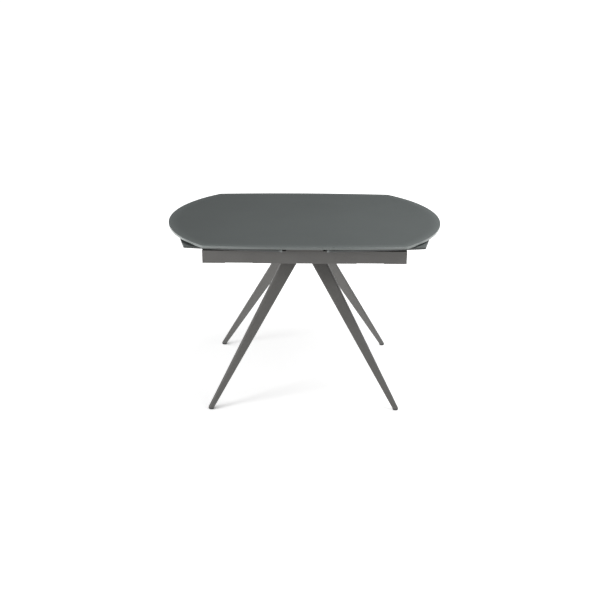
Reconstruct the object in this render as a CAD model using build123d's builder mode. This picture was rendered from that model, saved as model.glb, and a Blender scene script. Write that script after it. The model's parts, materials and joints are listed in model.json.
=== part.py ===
"""Extendable dining table with a barrel-shaped glass top on a splayed steel base.

Two glass leaves are stored flat under the fixed top, on ball-bearing slides that run in
the front and rear beams.  Each leaf is pulled straight out along X, and its hollow inner
edge then lies round the end of the top.

Millimetres.  X runs along the table, Y from front to rear, Z up.  The origin is on the
floor under the middle of the top.
"""
import os
from itertools import product

from build123d import *

# ---- overall ----
TABLE_HEIGHT = 770.0
TOP_LENGTH = 1200.0          # closed, over the round ends
TOP_WIDTH = 910.0            # at the middle of the bowed long sides
SIDE_RADIUS = 5000.0         # bow of the long sides
STORED_LEAF_INSET = 52.0     # of a stored leaf's outer edge, behind the end of the top

# ---- glass ----
TOP_GLASS = 10.0
LEAF_GLASS = 10.0
GLASS_ARRIS = 1.0            # ground edge
TOP_CORNER_RADIUS = 6.0
LEAF_CORNER_RADIUS = 10.0
LEAF_HORN_RADIUS = 3.0
LEAF_END_RADIUS = 1380.0
LEAF_JOINT_GAP = 1.5         # between the end of the top and an extended leaf
LEAF_HEADROOM = 6.0          # between the stored leaf and the top
LEAF_HORN_GAP = 10.0         # between a stored leaf's sharp horns and the brackets

# ---- steel frame ----
BEAM_HEIGHT = 54.0
BEAM_DEPTH = 38.0
BEAM_INSET = 62.0            # of the beams' outer faces, behind the long sides of the top
BEAM_TOP_GAP = 24.0          # from the beams to the underside of the top
BEAM_RELIEF_DEPTH = 2.0
BEAM_RELIEF_START = 212.0
BEAM_RELIEF_END = 325.0
SHEET = 3.0                  # folded sheet
FOLD_RADIUS = 1.5
CROSS_WIDTH = 40.0           # cross tubes and top bearers
CROSS_OUTER = 150.0          # over the pair
TUBE_WALL = 2.0
BRACKET_PLAY = 0.5           # under the glass
BRACKET_CHAMFER = 0.5

# ---- base ----
HUB_WIDTH = 180.0
HUB_LENGTH = 320.0
HUB_PLATE = 6.0
FLANGE_WIDTH = 172.0
FLANGE_DEPTH = 82.0
FLANGE_PLATE = 6.0
FOOT_X = 408.0               # leg centre lines, at the floor
FOOT_Y = 362.0
LEG_TOP_X = 25.0             # and under the flanges
LEG_TOP_Y = 91.0
LEG_TOP_WIDTH = 74.0
LEG_TOP_DEPTH = 42.0
LEG_FOOT_WIDTH = 25.0
LEG_FOOT_DEPTH = 24.0
LEG_EDGE_RADIUS = 3.0
LEG_WALL = 2.0
GLIDE_HEIGHT = 10.0
GLIDE_ROUND = 6.0
GLIDE_PLUG = 14.0
GLIDE_PLAY = 0.3

# ---- ball slides ----
SLIDE_LENGTH = 330.0
SLIDE_HEIGHT = 45.0
SLIDE_DEPTH = 12.7
SLIDE_INNER_GAP = 7.0        # from the cross tubes
SLIDE_END_INSET = 5.0        # from the ends of the beams
OUTER_WALL = 1.5
MIDDLE_WALL = 1.3
CAGE_WALL = 0.8
BALL_GAP = 5.0               # room for each row of balls
SLIDE_LIP = 2.5
OUTER_LIP_INSET = 0.7        # outer member's mouth, behind the mounting face
MIDDLE_WEB = 1.7             # each web's distance in front of the one behind it
MIDDLE_MOUTH_INSET = 2.2
INNER_TIP = 1.7
CAGE_PLAY = 0.4
CAGE_END_PLAY = 3.0

# ---- carriages and leaf frames ----
CARRIAGE_INNER_INSET = 18.0  # from the ends of the slide
CARRIAGE_OUTER_INSET = 12.0
CARRIAGE_WIDTH = 50.0
CARRIAGE_HEIGHT = 25.0
CARRIAGE_DROP = 1.5          # of its floor, below the slide's inner member
CARRIAGE_TIE_WIDTH = 30.0
CARRIAGE_TIE_HEIGHT = 15.0
RAIL_INSET = 20.0            # from the inner end of the carriage
RAIL_OVERHANG = 3.0          # past the outer bar
RAIL_FLANGE = 34.0
RAIL_GLASS_GAP = 3.0
RAIL_FLOOR_GAP = 1.0
BAR_WIDTH = 30.0
BAR_HEIGHT = 16.0
BAR_SPACING = 90.0
LEAF_DISC_RADIUS = 25.0
LEAF_DISC_MARGIN = 1.0       # between the inner discs and the hollow edge of the leaf
LEAF_DISC_SPREAD = 240.0
TOP_DISC_RADIUS = 18.0
TOP_DISC_HEIGHT = 3.0
TOP_DISC_SPREAD = 300.0

# ---- lifting links ----
ARM_CENTRES = 40.0
ARM_WIDTH = 14.0
ARM_THICKNESS = 5.0
ARM_RISE = 4.0               # height of the upper pivot over the lower one, folded
ARM_PLAY = 0.5
LOWER_PIVOT_HEIGHT = 10.0    # over the carriage's underside
ARM_OFFSETS = (40.0, 220.0)  # of the lower pivots, from the inner end of the carriage
PIN_RADIUS = 4.0
PIN_CLEARANCE = 0.05
PIN_HEAD_RADIUS = 6.0
PIN_HEAD = 2.0
SPRING_RADIUS = 6.0
SPRING_WIRE = 1.6
SPRING_LENGTH = 55.0         # from the carriage tie to the lugs
SPRING_HOOK = 7.0            # straight wire between the coils and what they pull on
SPRING_Y = 150.0
SPRING_LUG_WIDTH = 16.0

# ---- buffers and fasteners ----
BUFFER_DEPTH = 40.0
BUFFER_HEIGHT = 20.0
BUFFER_ROUND = 4.0
BUFFER_PLAY = 0.3
BOLT_RADIUS = 4.0
BOLT_HEAD_FLATS = 13.0
BOLT_HEAD = 5.5
BOLT_CLEARANCE = 0.2
BOLT_REACH = 8.0             # past the wall that it is screwed into
BUTTON_HEAD_RADIUS = 7.0
BUTTON_HEAD = 2.5
BEARER_BOLT_INSET = 21.0     # from the outer face of the beam
HUB_BOLT_ROWS = (30.0, 148.0)
FLANGE_BOLT_EDGE = 12.0
SCREW_RADIUS = 2.4
SCREW_HEAD_RADIUS = 4.5
SCREW_HEAD = 2.2
SCREW_CLEARANCE = 0.1
SCREW_INSET = 12.0           # from the ends of the carriage

# ---- levels and lines that follow from the sizes above ----
TOP_UNDERSIDE = TABLE_HEIGHT - TOP_GLASS
LEAF_TOP_Z = TOP_UNDERSIDE - LEAF_HEADROOM
LEAF_UNDERSIDE = LEAF_TOP_Z - LEAF_GLASS
BEAM_TOP = TOP_UNDERSIDE - BEAM_TOP_GAP
BEAM_BOTTOM = BEAM_TOP - BEAM_HEIGHT
BEAM_FACE_Y = TOP_WIDTH / 2 - BEAM_INSET
BEAM_WEB_Y = BEAM_FACE_Y - SHEET
CROSS_BOTTOM = BEAM_BOTTOM + SHEET
CROSS_TOP = BEAM_TOP - SHEET
CROSS_X = (CROSS_OUTER - CROSS_WIDTH) / 2
HUB_BOTTOM = CROSS_BOTTOM - HUB_PLATE
LEG_TOP_Z = HUB_BOTTOM - FLANGE_PLATE
BEARER_TOP = TOP_UNDERSIDE - TOP_DISC_HEIGHT

SIDE_CENTRE = SIDE_RADIUS - TOP_WIDTH / 2
LEAF_INNER_RADIUS = TOP_LENGTH / 2 + LEAF_JOINT_GAP
HORN_Y = (SIDE_RADIUS ** 2 - SIDE_CENTRE ** 2 - LEAF_INNER_RADIUS ** 2) / (2 * SIDE_CENTRE)
HORN_X = (LEAF_INNER_RADIUS ** 2 - HORN_Y ** 2) ** 0.5
LEAF_TRAVEL = HORN_X - CROSS_OUTER / 2 - LEAF_HORN_GAP
EXTENDED_LENGTH = TOP_LENGTH + 2 * (LEAF_TRAVEL - STORED_LEAF_INSET)

SLIDE_Z = (BEAM_BOTTOM + BEAM_TOP) / 2
SLIDE_START = CROSS_OUTER / 2 + SLIDE_INNER_GAP
SLIDE_STOP = SLIDE_START + SLIDE_LENGTH
BEAM_LENGTH = 2 * (SLIDE_STOP + SLIDE_END_INSET)
SLIDE_FACE_Y = BEAM_WEB_Y - SLIDE_DEPTH
OUTER_HALF = SLIDE_HEIGHT / 2
MIDDLE_HALF = OUTER_HALF - OUTER_WALL - BALL_GAP
INNER_HALF = MIDDLE_HALF - MIDDLE_WALL - BALL_GAP
OUTER_MOUTH = SLIDE_DEPTH - OUTER_LIP_INSET
MIDDLE_BACK = OUTER_WALL + MIDDLE_WEB
MIDDLE_MOUTH = SLIDE_DEPTH - MIDDLE_MOUTH_INSET
INNER_BACK = MIDDLE_BACK + MIDDLE_WALL + INNER_TIP
CAGE_LENGTH = SLIDE_LENGTH - LEAF_TRAVEL / 2 - 2 * CAGE_END_PLAY
CAGE_START = SLIDE_START + LEAF_TRAVEL / 4 + CAGE_END_PLAY

CARRIAGE_START = SLIDE_START + CARRIAGE_INNER_INSET
CARRIAGE_STOP = SLIDE_STOP - CARRIAGE_OUTER_INSET
CARRIAGE_BOTTOM = SLIDE_Z - INNER_HALF - CARRIAGE_DROP - SHEET
EAR_OUTER_Y = SLIDE_FACE_Y - CARRIAGE_WIDTH + SHEET
EAR_INNER_Y = EAR_OUTER_Y - SHEET
ARM_Y = EAR_OUTER_Y + ARM_PLAY + ARM_THICKNESS / 2
RAIL_INNER_Y = EAR_OUTER_Y + 2 * ARM_PLAY + ARM_THICKNESS
RAIL_OUTER_Y = RAIL_INNER_Y + SHEET
RAIL_TOP = LEAF_UNDERSIDE - RAIL_GLASS_GAP
RAIL_BOTTOM = CARRIAGE_BOTTOM + SHEET + RAIL_FLOOR_GAP
BAR_TOP = RAIL_TOP - SHEET
BAR_BOTTOM = BAR_TOP - BAR_HEIGHT
LOWER_PIVOT_Z = CARRIAGE_BOTTOM + LOWER_PIVOT_HEIGHT
UPPER_PIVOT_Z = LOWER_PIVOT_Z + ARM_RISE
ARM_REACH = (ARM_CENTRES ** 2 - ARM_RISE ** 2) ** 0.5
TIE_BOTTOM = CARRIAGE_BOTTOM + SHEET
SPRING_Z = TIE_BOTTOM + CARRIAGE_TIE_HEIGHT / 2
INNER_BAR_X = LEAF_INNER_RADIUS - LEAF_TRAVEL + LEAF_DISC_MARGIN + LEAF_DISC_RADIUS
OUTER_BAR_X = INNER_BAR_X + BAR_SPACING
CARRIAGE_TIE_X = INNER_BAR_X - BAR_WIDTH / 2 - SPRING_LENGTH - CARRIAGE_TIE_WIDTH / 2
RAIL_START = CARRIAGE_START + RAIL_INSET
RAIL_STOP = OUTER_BAR_X + BAR_WIDTH / 2 + RAIL_OVERHANG
LOWER_PIVOTS = [CARRIAGE_START + offset for offset in ARM_OFFSETS]
CARRIAGE_MIDDLE = (CARRIAGE_START + CARRIAGE_STOP) / 2
SCREWS_X = (CARRIAGE_START + SCREW_INSET, CARRIAGE_MIDDLE, CARRIAGE_STOP - SCREW_INSET)

SIDES = {"left": -1, "right": 1}
ENDS = {"front": -1, "rear": 1}


def save(piece, label):
    """Name a finished piece and write it to its own file."""
    piece.label = label
    export_step(piece, f"parts/{label}.step")


def across(y):
    """Upright plane facing the front, at a distance y from the middle of the table."""
    return Plane(origin=(0, y, 0), x_dir=(1, 0, 0), z_dir=(0, -1, 0))


# ---------------------------------------------------------------- glass

def keep_inside_long_sides():
    """Trim the sketch in hand to the two bowed long sides of the table."""
    for centre in (-SIDE_CENTRE, SIDE_CENTRE):
        with Locations((0, centre)):
            Circle(SIDE_RADIUS, mode=Mode.INTERSECT)


def make_top_glass():
    with BuildPart() as top_glass:
        with BuildSketch(Plane.XY.offset(TOP_UNDERSIDE)) as outline:
            Circle(TOP_LENGTH / 2)
            keep_inside_long_sides()
            fillet(outline.vertices(), TOP_CORNER_RADIUS)
        extrude(amount=TOP_GLASS)
        rims = top_glass.faces().filter_by(Axis.Z).edges()
        chamfer(rims, GLASS_ARRIS)
    save(top_glass.part, "top_glass")


def make_leaf_glass(name, side):
    """Drawn where it lies when extended, on a plane that is shifted back to its store."""
    store = Plane(origin=(-side * LEAF_TRAVEL, 0, LEAF_UNDERSIDE))
    end_centre = EXTENDED_LENGTH / 2 - LEAF_END_RADIUS
    with BuildPart() as leaf_glass:
        with BuildSketch(store) as outline:
            with Locations((side * end_centre, 0)):
                Circle(LEAF_END_RADIUS)
            keep_inside_long_sides()
            with Locations((side * EXTENDED_LENGTH / 2, 0)):
                Rectangle(EXTENDED_LENGTH, 2 * TOP_WIDTH, mode=Mode.INTERSECT)
            Circle(LEAF_INNER_RADIUS, mode=Mode.SUBTRACT)
            horns = outline.vertices().sort_by(Axis.X, reverse=side < 0)[:2]
            fillet(horns, LEAF_HORN_RADIUS)
            corners = outline.vertices().sort_by(Axis.X, reverse=side < 0)[-2:]
            fillet(corners, LEAF_CORNER_RADIUS)
        extrude(amount=LEAF_GLASS)
        rims = leaf_glass.faces().filter_by(Axis.Z).edges()
        chamfer(rims, GLASS_ARRIS)
    save(leaf_glass.part, f"{name}_leaf_glass")


# ---------------------------------------------------------------- frame

def make_beam(name, end):
    """Folded channel with its web to the outside and its open side to the middle."""
    with BuildPart() as beam:
        with BuildSketch(Plane.YZ) as section:
            with Locations((end * (BEAM_FACE_Y - BEAM_DEPTH / 2), SLIDE_Z)):
                Rectangle(BEAM_DEPTH, BEAM_HEIGHT)
            with Locations((end * (BEAM_WEB_Y - BEAM_DEPTH / 2), SLIDE_Z)):
                Rectangle(BEAM_DEPTH, BEAM_HEIGHT - 2 * SHEET, mode=Mode.SUBTRACT)
            folds = section.vertices().group_by(Axis.Y)
            outer = (folds[0] + folds[-1]).sort_by(Axis.X, reverse=end > 0)
            fillet(outer[:2], FOLD_RADIUS)
        extrude(amount=BEAM_LENGTH / 2, both=True)
        relief_length = BEAM_RELIEF_END - BEAM_RELIEF_START
        relief_x = (BEAM_RELIEF_START + BEAM_RELIEF_END) / 2
        with BuildSketch(Plane.XY.offset(BEAM_BOTTOM)):
            with Locations((-relief_x, end * BEAM_FACE_Y), (relief_x, end * BEAM_FACE_Y)):
                Rectangle(relief_length, 2 * BEAM_DEPTH)
        extrude(amount=BEAM_RELIEF_DEPTH, mode=Mode.SUBTRACT)
        bolt_y = end * (BEAM_FACE_Y - BEARER_BOLT_INSET)
        with BuildSketch(Plane.XY.offset(BEAM_TOP)):
            with Locations((-CROSS_X, bolt_y), (CROSS_X, bolt_y)):
                Circle(BOLT_RADIUS + BOLT_CLEARANCE)
        extrude(amount=-SHEET, mode=Mode.SUBTRACT)
    save(beam.part, f"{name}_beam")


def make_tube(label, side, low, high, half_length, drill):
    """Rectangular tube that runs from front to rear; drill cuts its bolt holes."""
    with BuildPart() as tube:
        with BuildSketch(Plane.XZ) as section:
            with Locations((side * CROSS_X, (low + high) / 2)):
                Rectangle(CROSS_WIDTH, high - low)
                inside = (CROSS_WIDTH - 2 * TUBE_WALL, high - low - 2 * TUBE_WALL)
                Rectangle(*inside, mode=Mode.SUBTRACT)
        extrude(amount=half_length, both=True)
        for plane, depth, rows in drill:
            with BuildSketch(plane):
                with Locations([(side * CROSS_X, row) for row in rows]):
                    Circle(BOLT_RADIUS + BOLT_CLEARANCE)
            extrude(amount=depth, mode=Mode.SUBTRACT)
    save(tube.part, label)


def bearer_bolt_rows():
    row = BEAM_FACE_Y - BEARER_BOLT_INSET
    return (-row, row)


def hub_bolt_rows():
    return [sign * row for row in HUB_BOLT_ROWS for sign in (-1, 1)]


def make_cross_tube(name, side):
    top = (Plane.XY.offset(CROSS_TOP), -TUBE_WALL, bearer_bolt_rows())
    bottom = (Plane.XY.offset(CROSS_BOTTOM), TUBE_WALL, hub_bolt_rows())
    make_tube(f"{name}_cross_tube", side, CROSS_BOTTOM, CROSS_TOP, BEAM_WEB_Y, (top, bottom))


def make_top_bearer(name, side):
    through = (Plane.XY.offset(BEAM_TOP), BEARER_TOP - BEAM_TOP, bearer_bolt_rows())
    make_tube(f"{name}_top_bearer", side, BEAM_TOP, BEARER_TOP, BEAM_WEB_Y, (through,))


def make_top_bracket(name, end):
    """Plate that closes the gap between a beam and the top, flush with the beam."""
    height = BEAM_TOP_GAP - BRACKET_PLAY
    with BuildPart() as bracket:
        with BuildSketch(across(end * (BEAM_FACE_Y - SHEET / 2))):
            with Locations((0, BEAM_TOP + height / 2)):
                Rectangle(CROSS_OUTER, height)
        extrude(amount=SHEET / 2, both=True)
        outer = bracket.faces().sort_by(Axis.Y, reverse=end > 0)[0]
        chamfer(outer.edges().filter_by(Axis.Z), BRACKET_CHAMFER)
    save(bracket.part, f"{name}_top_bracket")


def make_top_bond_discs():
    rows = (-TOP_DISC_SPREAD, 0, TOP_DISC_SPREAD)
    with BuildPart() as discs:
        with BuildSketch(Plane.XY.offset(BEARER_TOP)):
            with Locations([(side * CROSS_X, row) for side in (-1, 1) for row in rows]):
                Circle(TOP_DISC_RADIUS)
        extrude(amount=TOP_DISC_HEIGHT)
    save(discs.part, "top_bond_discs")


# ---------------------------------------------------------------- base

def flange_bolt_spots():
    x = FLANGE_WIDTH / 2 - FLANGE_BOLT_EDGE
    y = FLANGE_DEPTH / 2 - FLANGE_BOLT_EDGE
    return [(a * x, b * y) for a in (-1, 1) for b in (-1, 1)]


def make_hub_plate():
    with BuildPart() as hub:
        with BuildSketch(Plane.XY.offset(HUB_BOTTOM)):
            Rectangle(HUB_WIDTH, HUB_LENGTH)
            with Locations([(a * CROSS_X, row) for a in (-1, 1) for row in hub_bolt_rows()]):
                Circle(BOLT_RADIUS + BOLT_CLEARANCE, mode=Mode.SUBTRACT)
            for end in ENDS.values():
                spots = [(x, end * LEG_TOP_Y + y) for x, y in flange_bolt_spots()]
                with Locations(spots):
                    Circle(BOLT_RADIUS + BOLT_CLEARANCE, mode=Mode.SUBTRACT)
        extrude(amount=HUB_PLATE)
        fillet(hub.edges().filter_by(Axis.Z).group_by(Axis.X)[0], FLANGE_BOLT_EDGE)
        fillet(hub.edges().filter_by(Axis.Z).group_by(Axis.X)[-1], FLANGE_BOLT_EDGE)
    save(hub.part, "hub_plate")


def make_leg_flange(name, end):
    """Plate that a pair of legs is welded to and that is bolted under the hub plate."""
    with BuildPart() as flange:
        with BuildSketch(Plane(origin=(0, end * LEG_TOP_Y, LEG_TOP_Z))):
            RectangleRounded(FLANGE_WIDTH, FLANGE_DEPTH, FLANGE_BOLT_EDGE)
            with Locations(flange_bolt_spots()):
                Circle(BOLT_RADIUS + BOLT_CLEARANCE, mode=Mode.SUBTRACT)
        extrude(amount=FLANGE_PLATE)
    save(flange.part, f"{name}_leg_flange")


def leg_plane(level, side, end):
    """Level plane at a height, with its origin on the centre line of a leg."""
    fall = level / LEG_TOP_Z
    x = FOOT_X + (LEG_TOP_X - FOOT_X) * fall
    y = FOOT_Y + (LEG_TOP_Y - FOOT_Y) * fall
    return Plane(origin=(side * x, end * y, level))


def make_leg(name, side, end):
    """Tapered tube of folded sheet, mitred against its neighbour in the middle."""
    foot = leg_plane(GLIDE_HEIGHT, side, end)
    head = leg_plane(LEG_TOP_Z, side, end)
    with BuildPart() as leg:
        with BuildSketch(foot):
            RectangleRounded(LEG_FOOT_WIDTH, LEG_FOOT_DEPTH, LEG_EDGE_RADIUS)
        with BuildSketch(head):
            RectangleRounded(LEG_TOP_WIDTH, LEG_TOP_DEPTH, LEG_EDGE_RADIUS)
        loft()
        with BuildSketch(foot):
            Rectangle(LEG_FOOT_WIDTH - 2 * LEG_WALL, LEG_FOOT_DEPTH - 2 * LEG_WALL)
        with BuildSketch(head):
            Rectangle(LEG_TOP_WIDTH - 2 * LEG_WALL, LEG_TOP_DEPTH - 2 * LEG_WALL)
        loft(mode=Mode.SUBTRACT)
        split(bisect_by=Plane.YZ, keep=Keep.TOP if side > 0 else Keep.BOTTOM)
    save(leg.part, name)


def make_foot_glides():
    """Rounded soles under the legs, each with a plug that is pressed into the tube."""
    play = 2 * (LEG_WALL + GLIDE_PLAY)
    with BuildPart() as glides:
        for side, end in product(SIDES.values(), ENDS.values()):
            foot = leg_plane(GLIDE_HEIGHT, side, end).origin
            for level in (0, GLIDE_ROUND * (1 - 0.5 ** 0.5), GLIDE_ROUND, GLIDE_HEIGHT):
                below = max(GLIDE_ROUND - level, 0)
                inset = 2 * (GLIDE_ROUND - (GLIDE_ROUND ** 2 - below ** 2) ** 0.5)
                with BuildSketch(Plane(origin=(foot.X, foot.Y, level))):
                    RectangleRounded(LEG_FOOT_WIDTH - inset, LEG_FOOT_DEPTH - inset, LEG_EDGE_RADIUS)
            loft(ruled=True)
            for level in (GLIDE_HEIGHT, GLIDE_HEIGHT + GLIDE_PLUG):
                with BuildSketch(leg_plane(level, side, end)):
                    Rectangle(LEG_FOOT_WIDTH - play, LEG_FOOT_DEPTH - play)
            loft()
    save(glides.part, "foot_glides")


# ---------------------------------------------------------------- ball slides

def rolled_section(end, back, mouth, half, wall, lip):
    """Section of a slide member or cage: a web, two flanges and their lips.

    back and mouth are the distances of the web's face and the open edge from the
    beam's web; back is the larger of the two where the open side faces the beam.
    """
    reach = mouth - back
    step = wall if reach > 0 else -wall
    with Locations((end * (BEAM_WEB_Y - (back + mouth) / 2), SLIDE_Z)):
        Rectangle(abs(reach), 2 * half)
    hollow_end = mouth - (step if lip else 0)
    with Locations((end * (BEAM_WEB_Y - (back + step + hollow_end) / 2), SLIDE_Z)):
        Rectangle(abs(hollow_end - back - step), 2 * (half - wall), mode=Mode.SUBTRACT)
    if lip:
        with Locations((end * (BEAM_WEB_Y - (hollow_end + mouth) / 2), SLIDE_Z)):
            Rectangle(wall, 2 * (half - wall - lip), mode=Mode.SUBTRACT)


def make_slide_outer(name, side, end):
    with BuildPart() as member:
        with BuildSketch(Plane.YZ.offset(side * SLIDE_START)):
            rolled_section(end, 0, OUTER_MOUTH, OUTER_HALF, OUTER_WALL, SLIDE_LIP)
        extrude(amount=side * SLIDE_LENGTH)
    save(member.part, f"{name}_slide_outer")


def make_slide_middles(name, side):
    with BuildPart() as members:
        for end in ENDS.values():
            with BuildSketch(Plane.YZ.offset(side * SLIDE_START)):
                rolled_section(end, MIDDLE_BACK, MIDDLE_MOUTH, MIDDLE_HALF, MIDDLE_WALL,
                               SLIDE_LIP - CAGE_PLAY)
            extrude(amount=side * SLIDE_LENGTH)
    save(members.part, f"{name}_slide_middles")


def make_slide_inners(name, side):
    """The members that the carriages are screwed to."""
    with BuildPart() as members:
        for end in ENDS.values():
            with BuildSketch(Plane.YZ.offset(side * SLIDE_START)):
                rolled_section(end, SLIDE_DEPTH, INNER_BACK, INNER_HALF, OUTER_WALL, 0)
            extrude(amount=side * SLIDE_LENGTH)
            with BuildSketch(across(end * SLIDE_FACE_Y)):
                with Locations([(side * x, SLIDE_Z) for x in SCREWS_X]):
                    Circle(SCREW_RADIUS + SCREW_CLEARANCE)
            extrude(amount=-end * OUTER_WALL, mode=Mode.SUBTRACT)
    save(members.part, f"{name}_slide_inners")


def make_cages(label, side, back, mouth, half):
    """Pressed strips that keep the balls of one stage apart, at the front and rear."""
    with BuildPart() as cages:
        for end in ENDS.values():
            with BuildSketch(Plane.YZ.offset(side * CAGE_START)):
                rolled_section(end, back, mouth, half, CAGE_WALL, 0)
            extrude(amount=side * CAGE_LENGTH)
    save(cages.part, label)


def make_outer_cages(name, side):
    half = MIDDLE_HALF + BALL_GAP / 2 + CAGE_WALL / 2
    mouth = OUTER_MOUTH - OUTER_WALL - CAGE_PLAY
    make_cages(f"{name}_outer_cages", side, OUTER_WALL + CAGE_PLAY, mouth, half)


def make_inner_cages(name, side):
    half = INNER_HALF + BALL_GAP / 2 + CAGE_WALL / 2
    back = MIDDLE_BACK + MIDDLE_WALL + CAGE_PLAY
    mouth = MIDDLE_MOUTH - MIDDLE_WALL - CAGE_PLAY
    make_cages(f"{name}_inner_cages", side, back, mouth, half)


# ---------------------------------------------------------------- leaf carriages

def pivot_spots(side, height, shift):
    return [(side * (x + shift), height) for x in LOWER_PIVOTS]


def make_carriage(name, side, end):
    """Folded trough: one wall on the slide, the other carries the lower pivots."""
    with BuildPart() as carriage:
        with BuildSketch(Plane.YZ.offset(side * CARRIAGE_START)):
            middle_y = end * (SLIDE_FACE_Y - CARRIAGE_WIDTH / 2)
            with Locations((middle_y, CARRIAGE_BOTTOM + CARRIAGE_HEIGHT / 2)):
                Rectangle(CARRIAGE_WIDTH, CARRIAGE_HEIGHT)
            with Locations((middle_y, CARRIAGE_BOTTOM + SHEET + CARRIAGE_HEIGHT / 2)):
                Rectangle(CARRIAGE_WIDTH - 2 * SHEET, CARRIAGE_HEIGHT, mode=Mode.SUBTRACT)
        extrude(amount=side * (CARRIAGE_STOP - CARRIAGE_START))
        folds = carriage.edges().filter_by(Axis.X).group_by(Axis.Z)[0]
        fillet(folds, FOLD_RADIUS)
        with BuildSketch(across(end * EAR_OUTER_Y)):
            with Locations(pivot_spots(side, LOWER_PIVOT_Z, 0)):
                Circle(PIN_RADIUS + PIN_CLEARANCE)
        extrude(amount=end * SHEET, mode=Mode.SUBTRACT)
        with BuildSketch(across(end * SLIDE_FACE_Y)):
            with Locations([(side * x, SLIDE_Z) for x in SCREWS_X]):
                Circle(SCREW_RADIUS + SCREW_CLEARANCE)
        extrude(amount=end * SHEET, mode=Mode.SUBTRACT)
    save(carriage.part, f"{name}_carriage")


def make_carriage_tie(name, side):
    """Flat tube that joins the front and rear carriages of a leaf."""
    with BuildPart() as tie:
        with BuildSketch(Plane.XZ):
            with Locations((side * CARRIAGE_TIE_X, TIE_BOTTOM + CARRIAGE_TIE_HEIGHT / 2)):
                Rectangle(CARRIAGE_TIE_WIDTH, CARRIAGE_TIE_HEIGHT)
                width = CARRIAGE_TIE_WIDTH - 2 * TUBE_WALL
                Rectangle(width, CARRIAGE_TIE_HEIGHT - 2 * TUBE_WALL, mode=Mode.SUBTRACT)
        extrude(amount=EAR_INNER_Y, both=True)
    save(tie.part, f"{name}_carriage_tie")


def make_carriage_screws(name, side):
    with BuildPart() as screws:
        for end in ENDS.values():
            spots = [(side * x, SLIDE_Z) for x in SCREWS_X]
            seat = end * (SLIDE_FACE_Y - SHEET)
            with BuildSketch(across(seat)):
                with Locations(spots):
                    Circle(SCREW_HEAD_RADIUS)
            extrude(amount=end * SCREW_HEAD)
            with BuildSketch(across(seat)):
                with Locations(spots):
                    Circle(SCREW_RADIUS)
            extrude(amount=-end * (SHEET + OUTER_WALL))
    save(screws.part, f"{name}_carriage_screws")


# ---------------------------------------------------------------- leaf frame and lift

def make_leaf_rail(name, side, end):
    """Angle under the leaf: its upright flange carries the upper pivots."""
    with BuildPart() as rail:
        with BuildSketch(Plane.YZ.offset(side * RAIL_START)):
            height = RAIL_TOP - RAIL_BOTTOM
            middle_y = end * (RAIL_OUTER_Y - RAIL_FLANGE / 2)
            with Locations((middle_y, RAIL_BOTTOM + height / 2)):
                Rectangle(RAIL_FLANGE, height)
            with Locations((middle_y - end * SHEET, RAIL_BOTTOM + height / 2 - SHEET)):
                Rectangle(RAIL_FLANGE, height, mode=Mode.SUBTRACT)
        extrude(amount=side * (RAIL_STOP - RAIL_START))
        with BuildSketch(across(end * RAIL_OUTER_Y)):
            with Locations(pivot_spots(side, UPPER_PIVOT_Z, ARM_REACH)):
                Circle(PIN_RADIUS + PIN_CLEARANCE)
        extrude(amount=end * SHEET, mode=Mode.SUBTRACT)
    save(rail.part, f"{name}_leaf_rail")


def make_leaf_bar(name, side, bar_x, with_lugs):
    """Cross tube of a leaf frame; the inner one has lugs for the lifting springs."""
    with BuildPart() as bar:
        with BuildSketch(Plane.XZ):
            with Locations((side * bar_x, BAR_BOTTOM + BAR_HEIGHT / 2)):
                Rectangle(BAR_WIDTH, BAR_HEIGHT)
                inside = (BAR_WIDTH - 2 * TUBE_WALL, BAR_HEIGHT - 2 * TUBE_WALL)
                Rectangle(*inside, mode=Mode.SUBTRACT)
        extrude(amount=RAIL_INNER_Y, both=True)
        if with_lugs:
            lug_x = side * (bar_x - BAR_WIDTH / 2 + SHEET / 2)
            lug_height = BAR_BOTTOM - (SPRING_Z - SPRING_RADIUS)
            with BuildSketch(Plane.XY.offset(BAR_BOTTOM)):
                with Locations((lug_x, -SPRING_Y), (lug_x, SPRING_Y)):
                    Rectangle(SHEET, SPRING_LUG_WIDTH)
            extrude(amount=-lug_height)
    save(bar.part, name)


def make_leaf_bond_discs(name, side):
    """Discs bonded to the glass and screwed to the cross tubes of the leaf frame."""
    rows = (-LEAF_DISC_SPREAD, 0, LEAF_DISC_SPREAD)
    spots = [(side * x, row) for x in (INNER_BAR_X, OUTER_BAR_X) for row in rows]
    with BuildPart() as discs:
        with BuildSketch(Plane.XY.offset(BAR_TOP)):
            with Locations(spots):
                Circle(LEAF_DISC_RADIUS)
        extrude(amount=LEAF_UNDERSIDE - BAR_TOP)
    save(discs.part, f"{name}_leaf_bond_discs")


def make_lift_arms(name, side):
    """Links that raise the leaf to the level of the top, here folded down."""
    with BuildPart() as arms:
        for end in ENDS.values():
            for foot_x in LOWER_PIVOTS:
                middle = (side * (foot_x + ARM_REACH / 2), end * ARM_Y, LOWER_PIVOT_Z + ARM_RISE / 2)
                lengthwise = (side * ARM_REACH, 0, ARM_RISE)
                with BuildSketch(Plane(origin=middle, x_dir=lengthwise, z_dir=(0, -1, 0))):
                    SlotCenterToCenter(ARM_CENTRES, ARM_WIDTH)
                    with Locations((-ARM_CENTRES / 2, 0), (ARM_CENTRES / 2, 0)):
                        Circle(PIN_RADIUS + PIN_CLEARANCE, mode=Mode.SUBTRACT)
                extrude(amount=ARM_THICKNESS / 2, both=True)
    save(arms.part, f"{name}_lift_arms")


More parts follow.
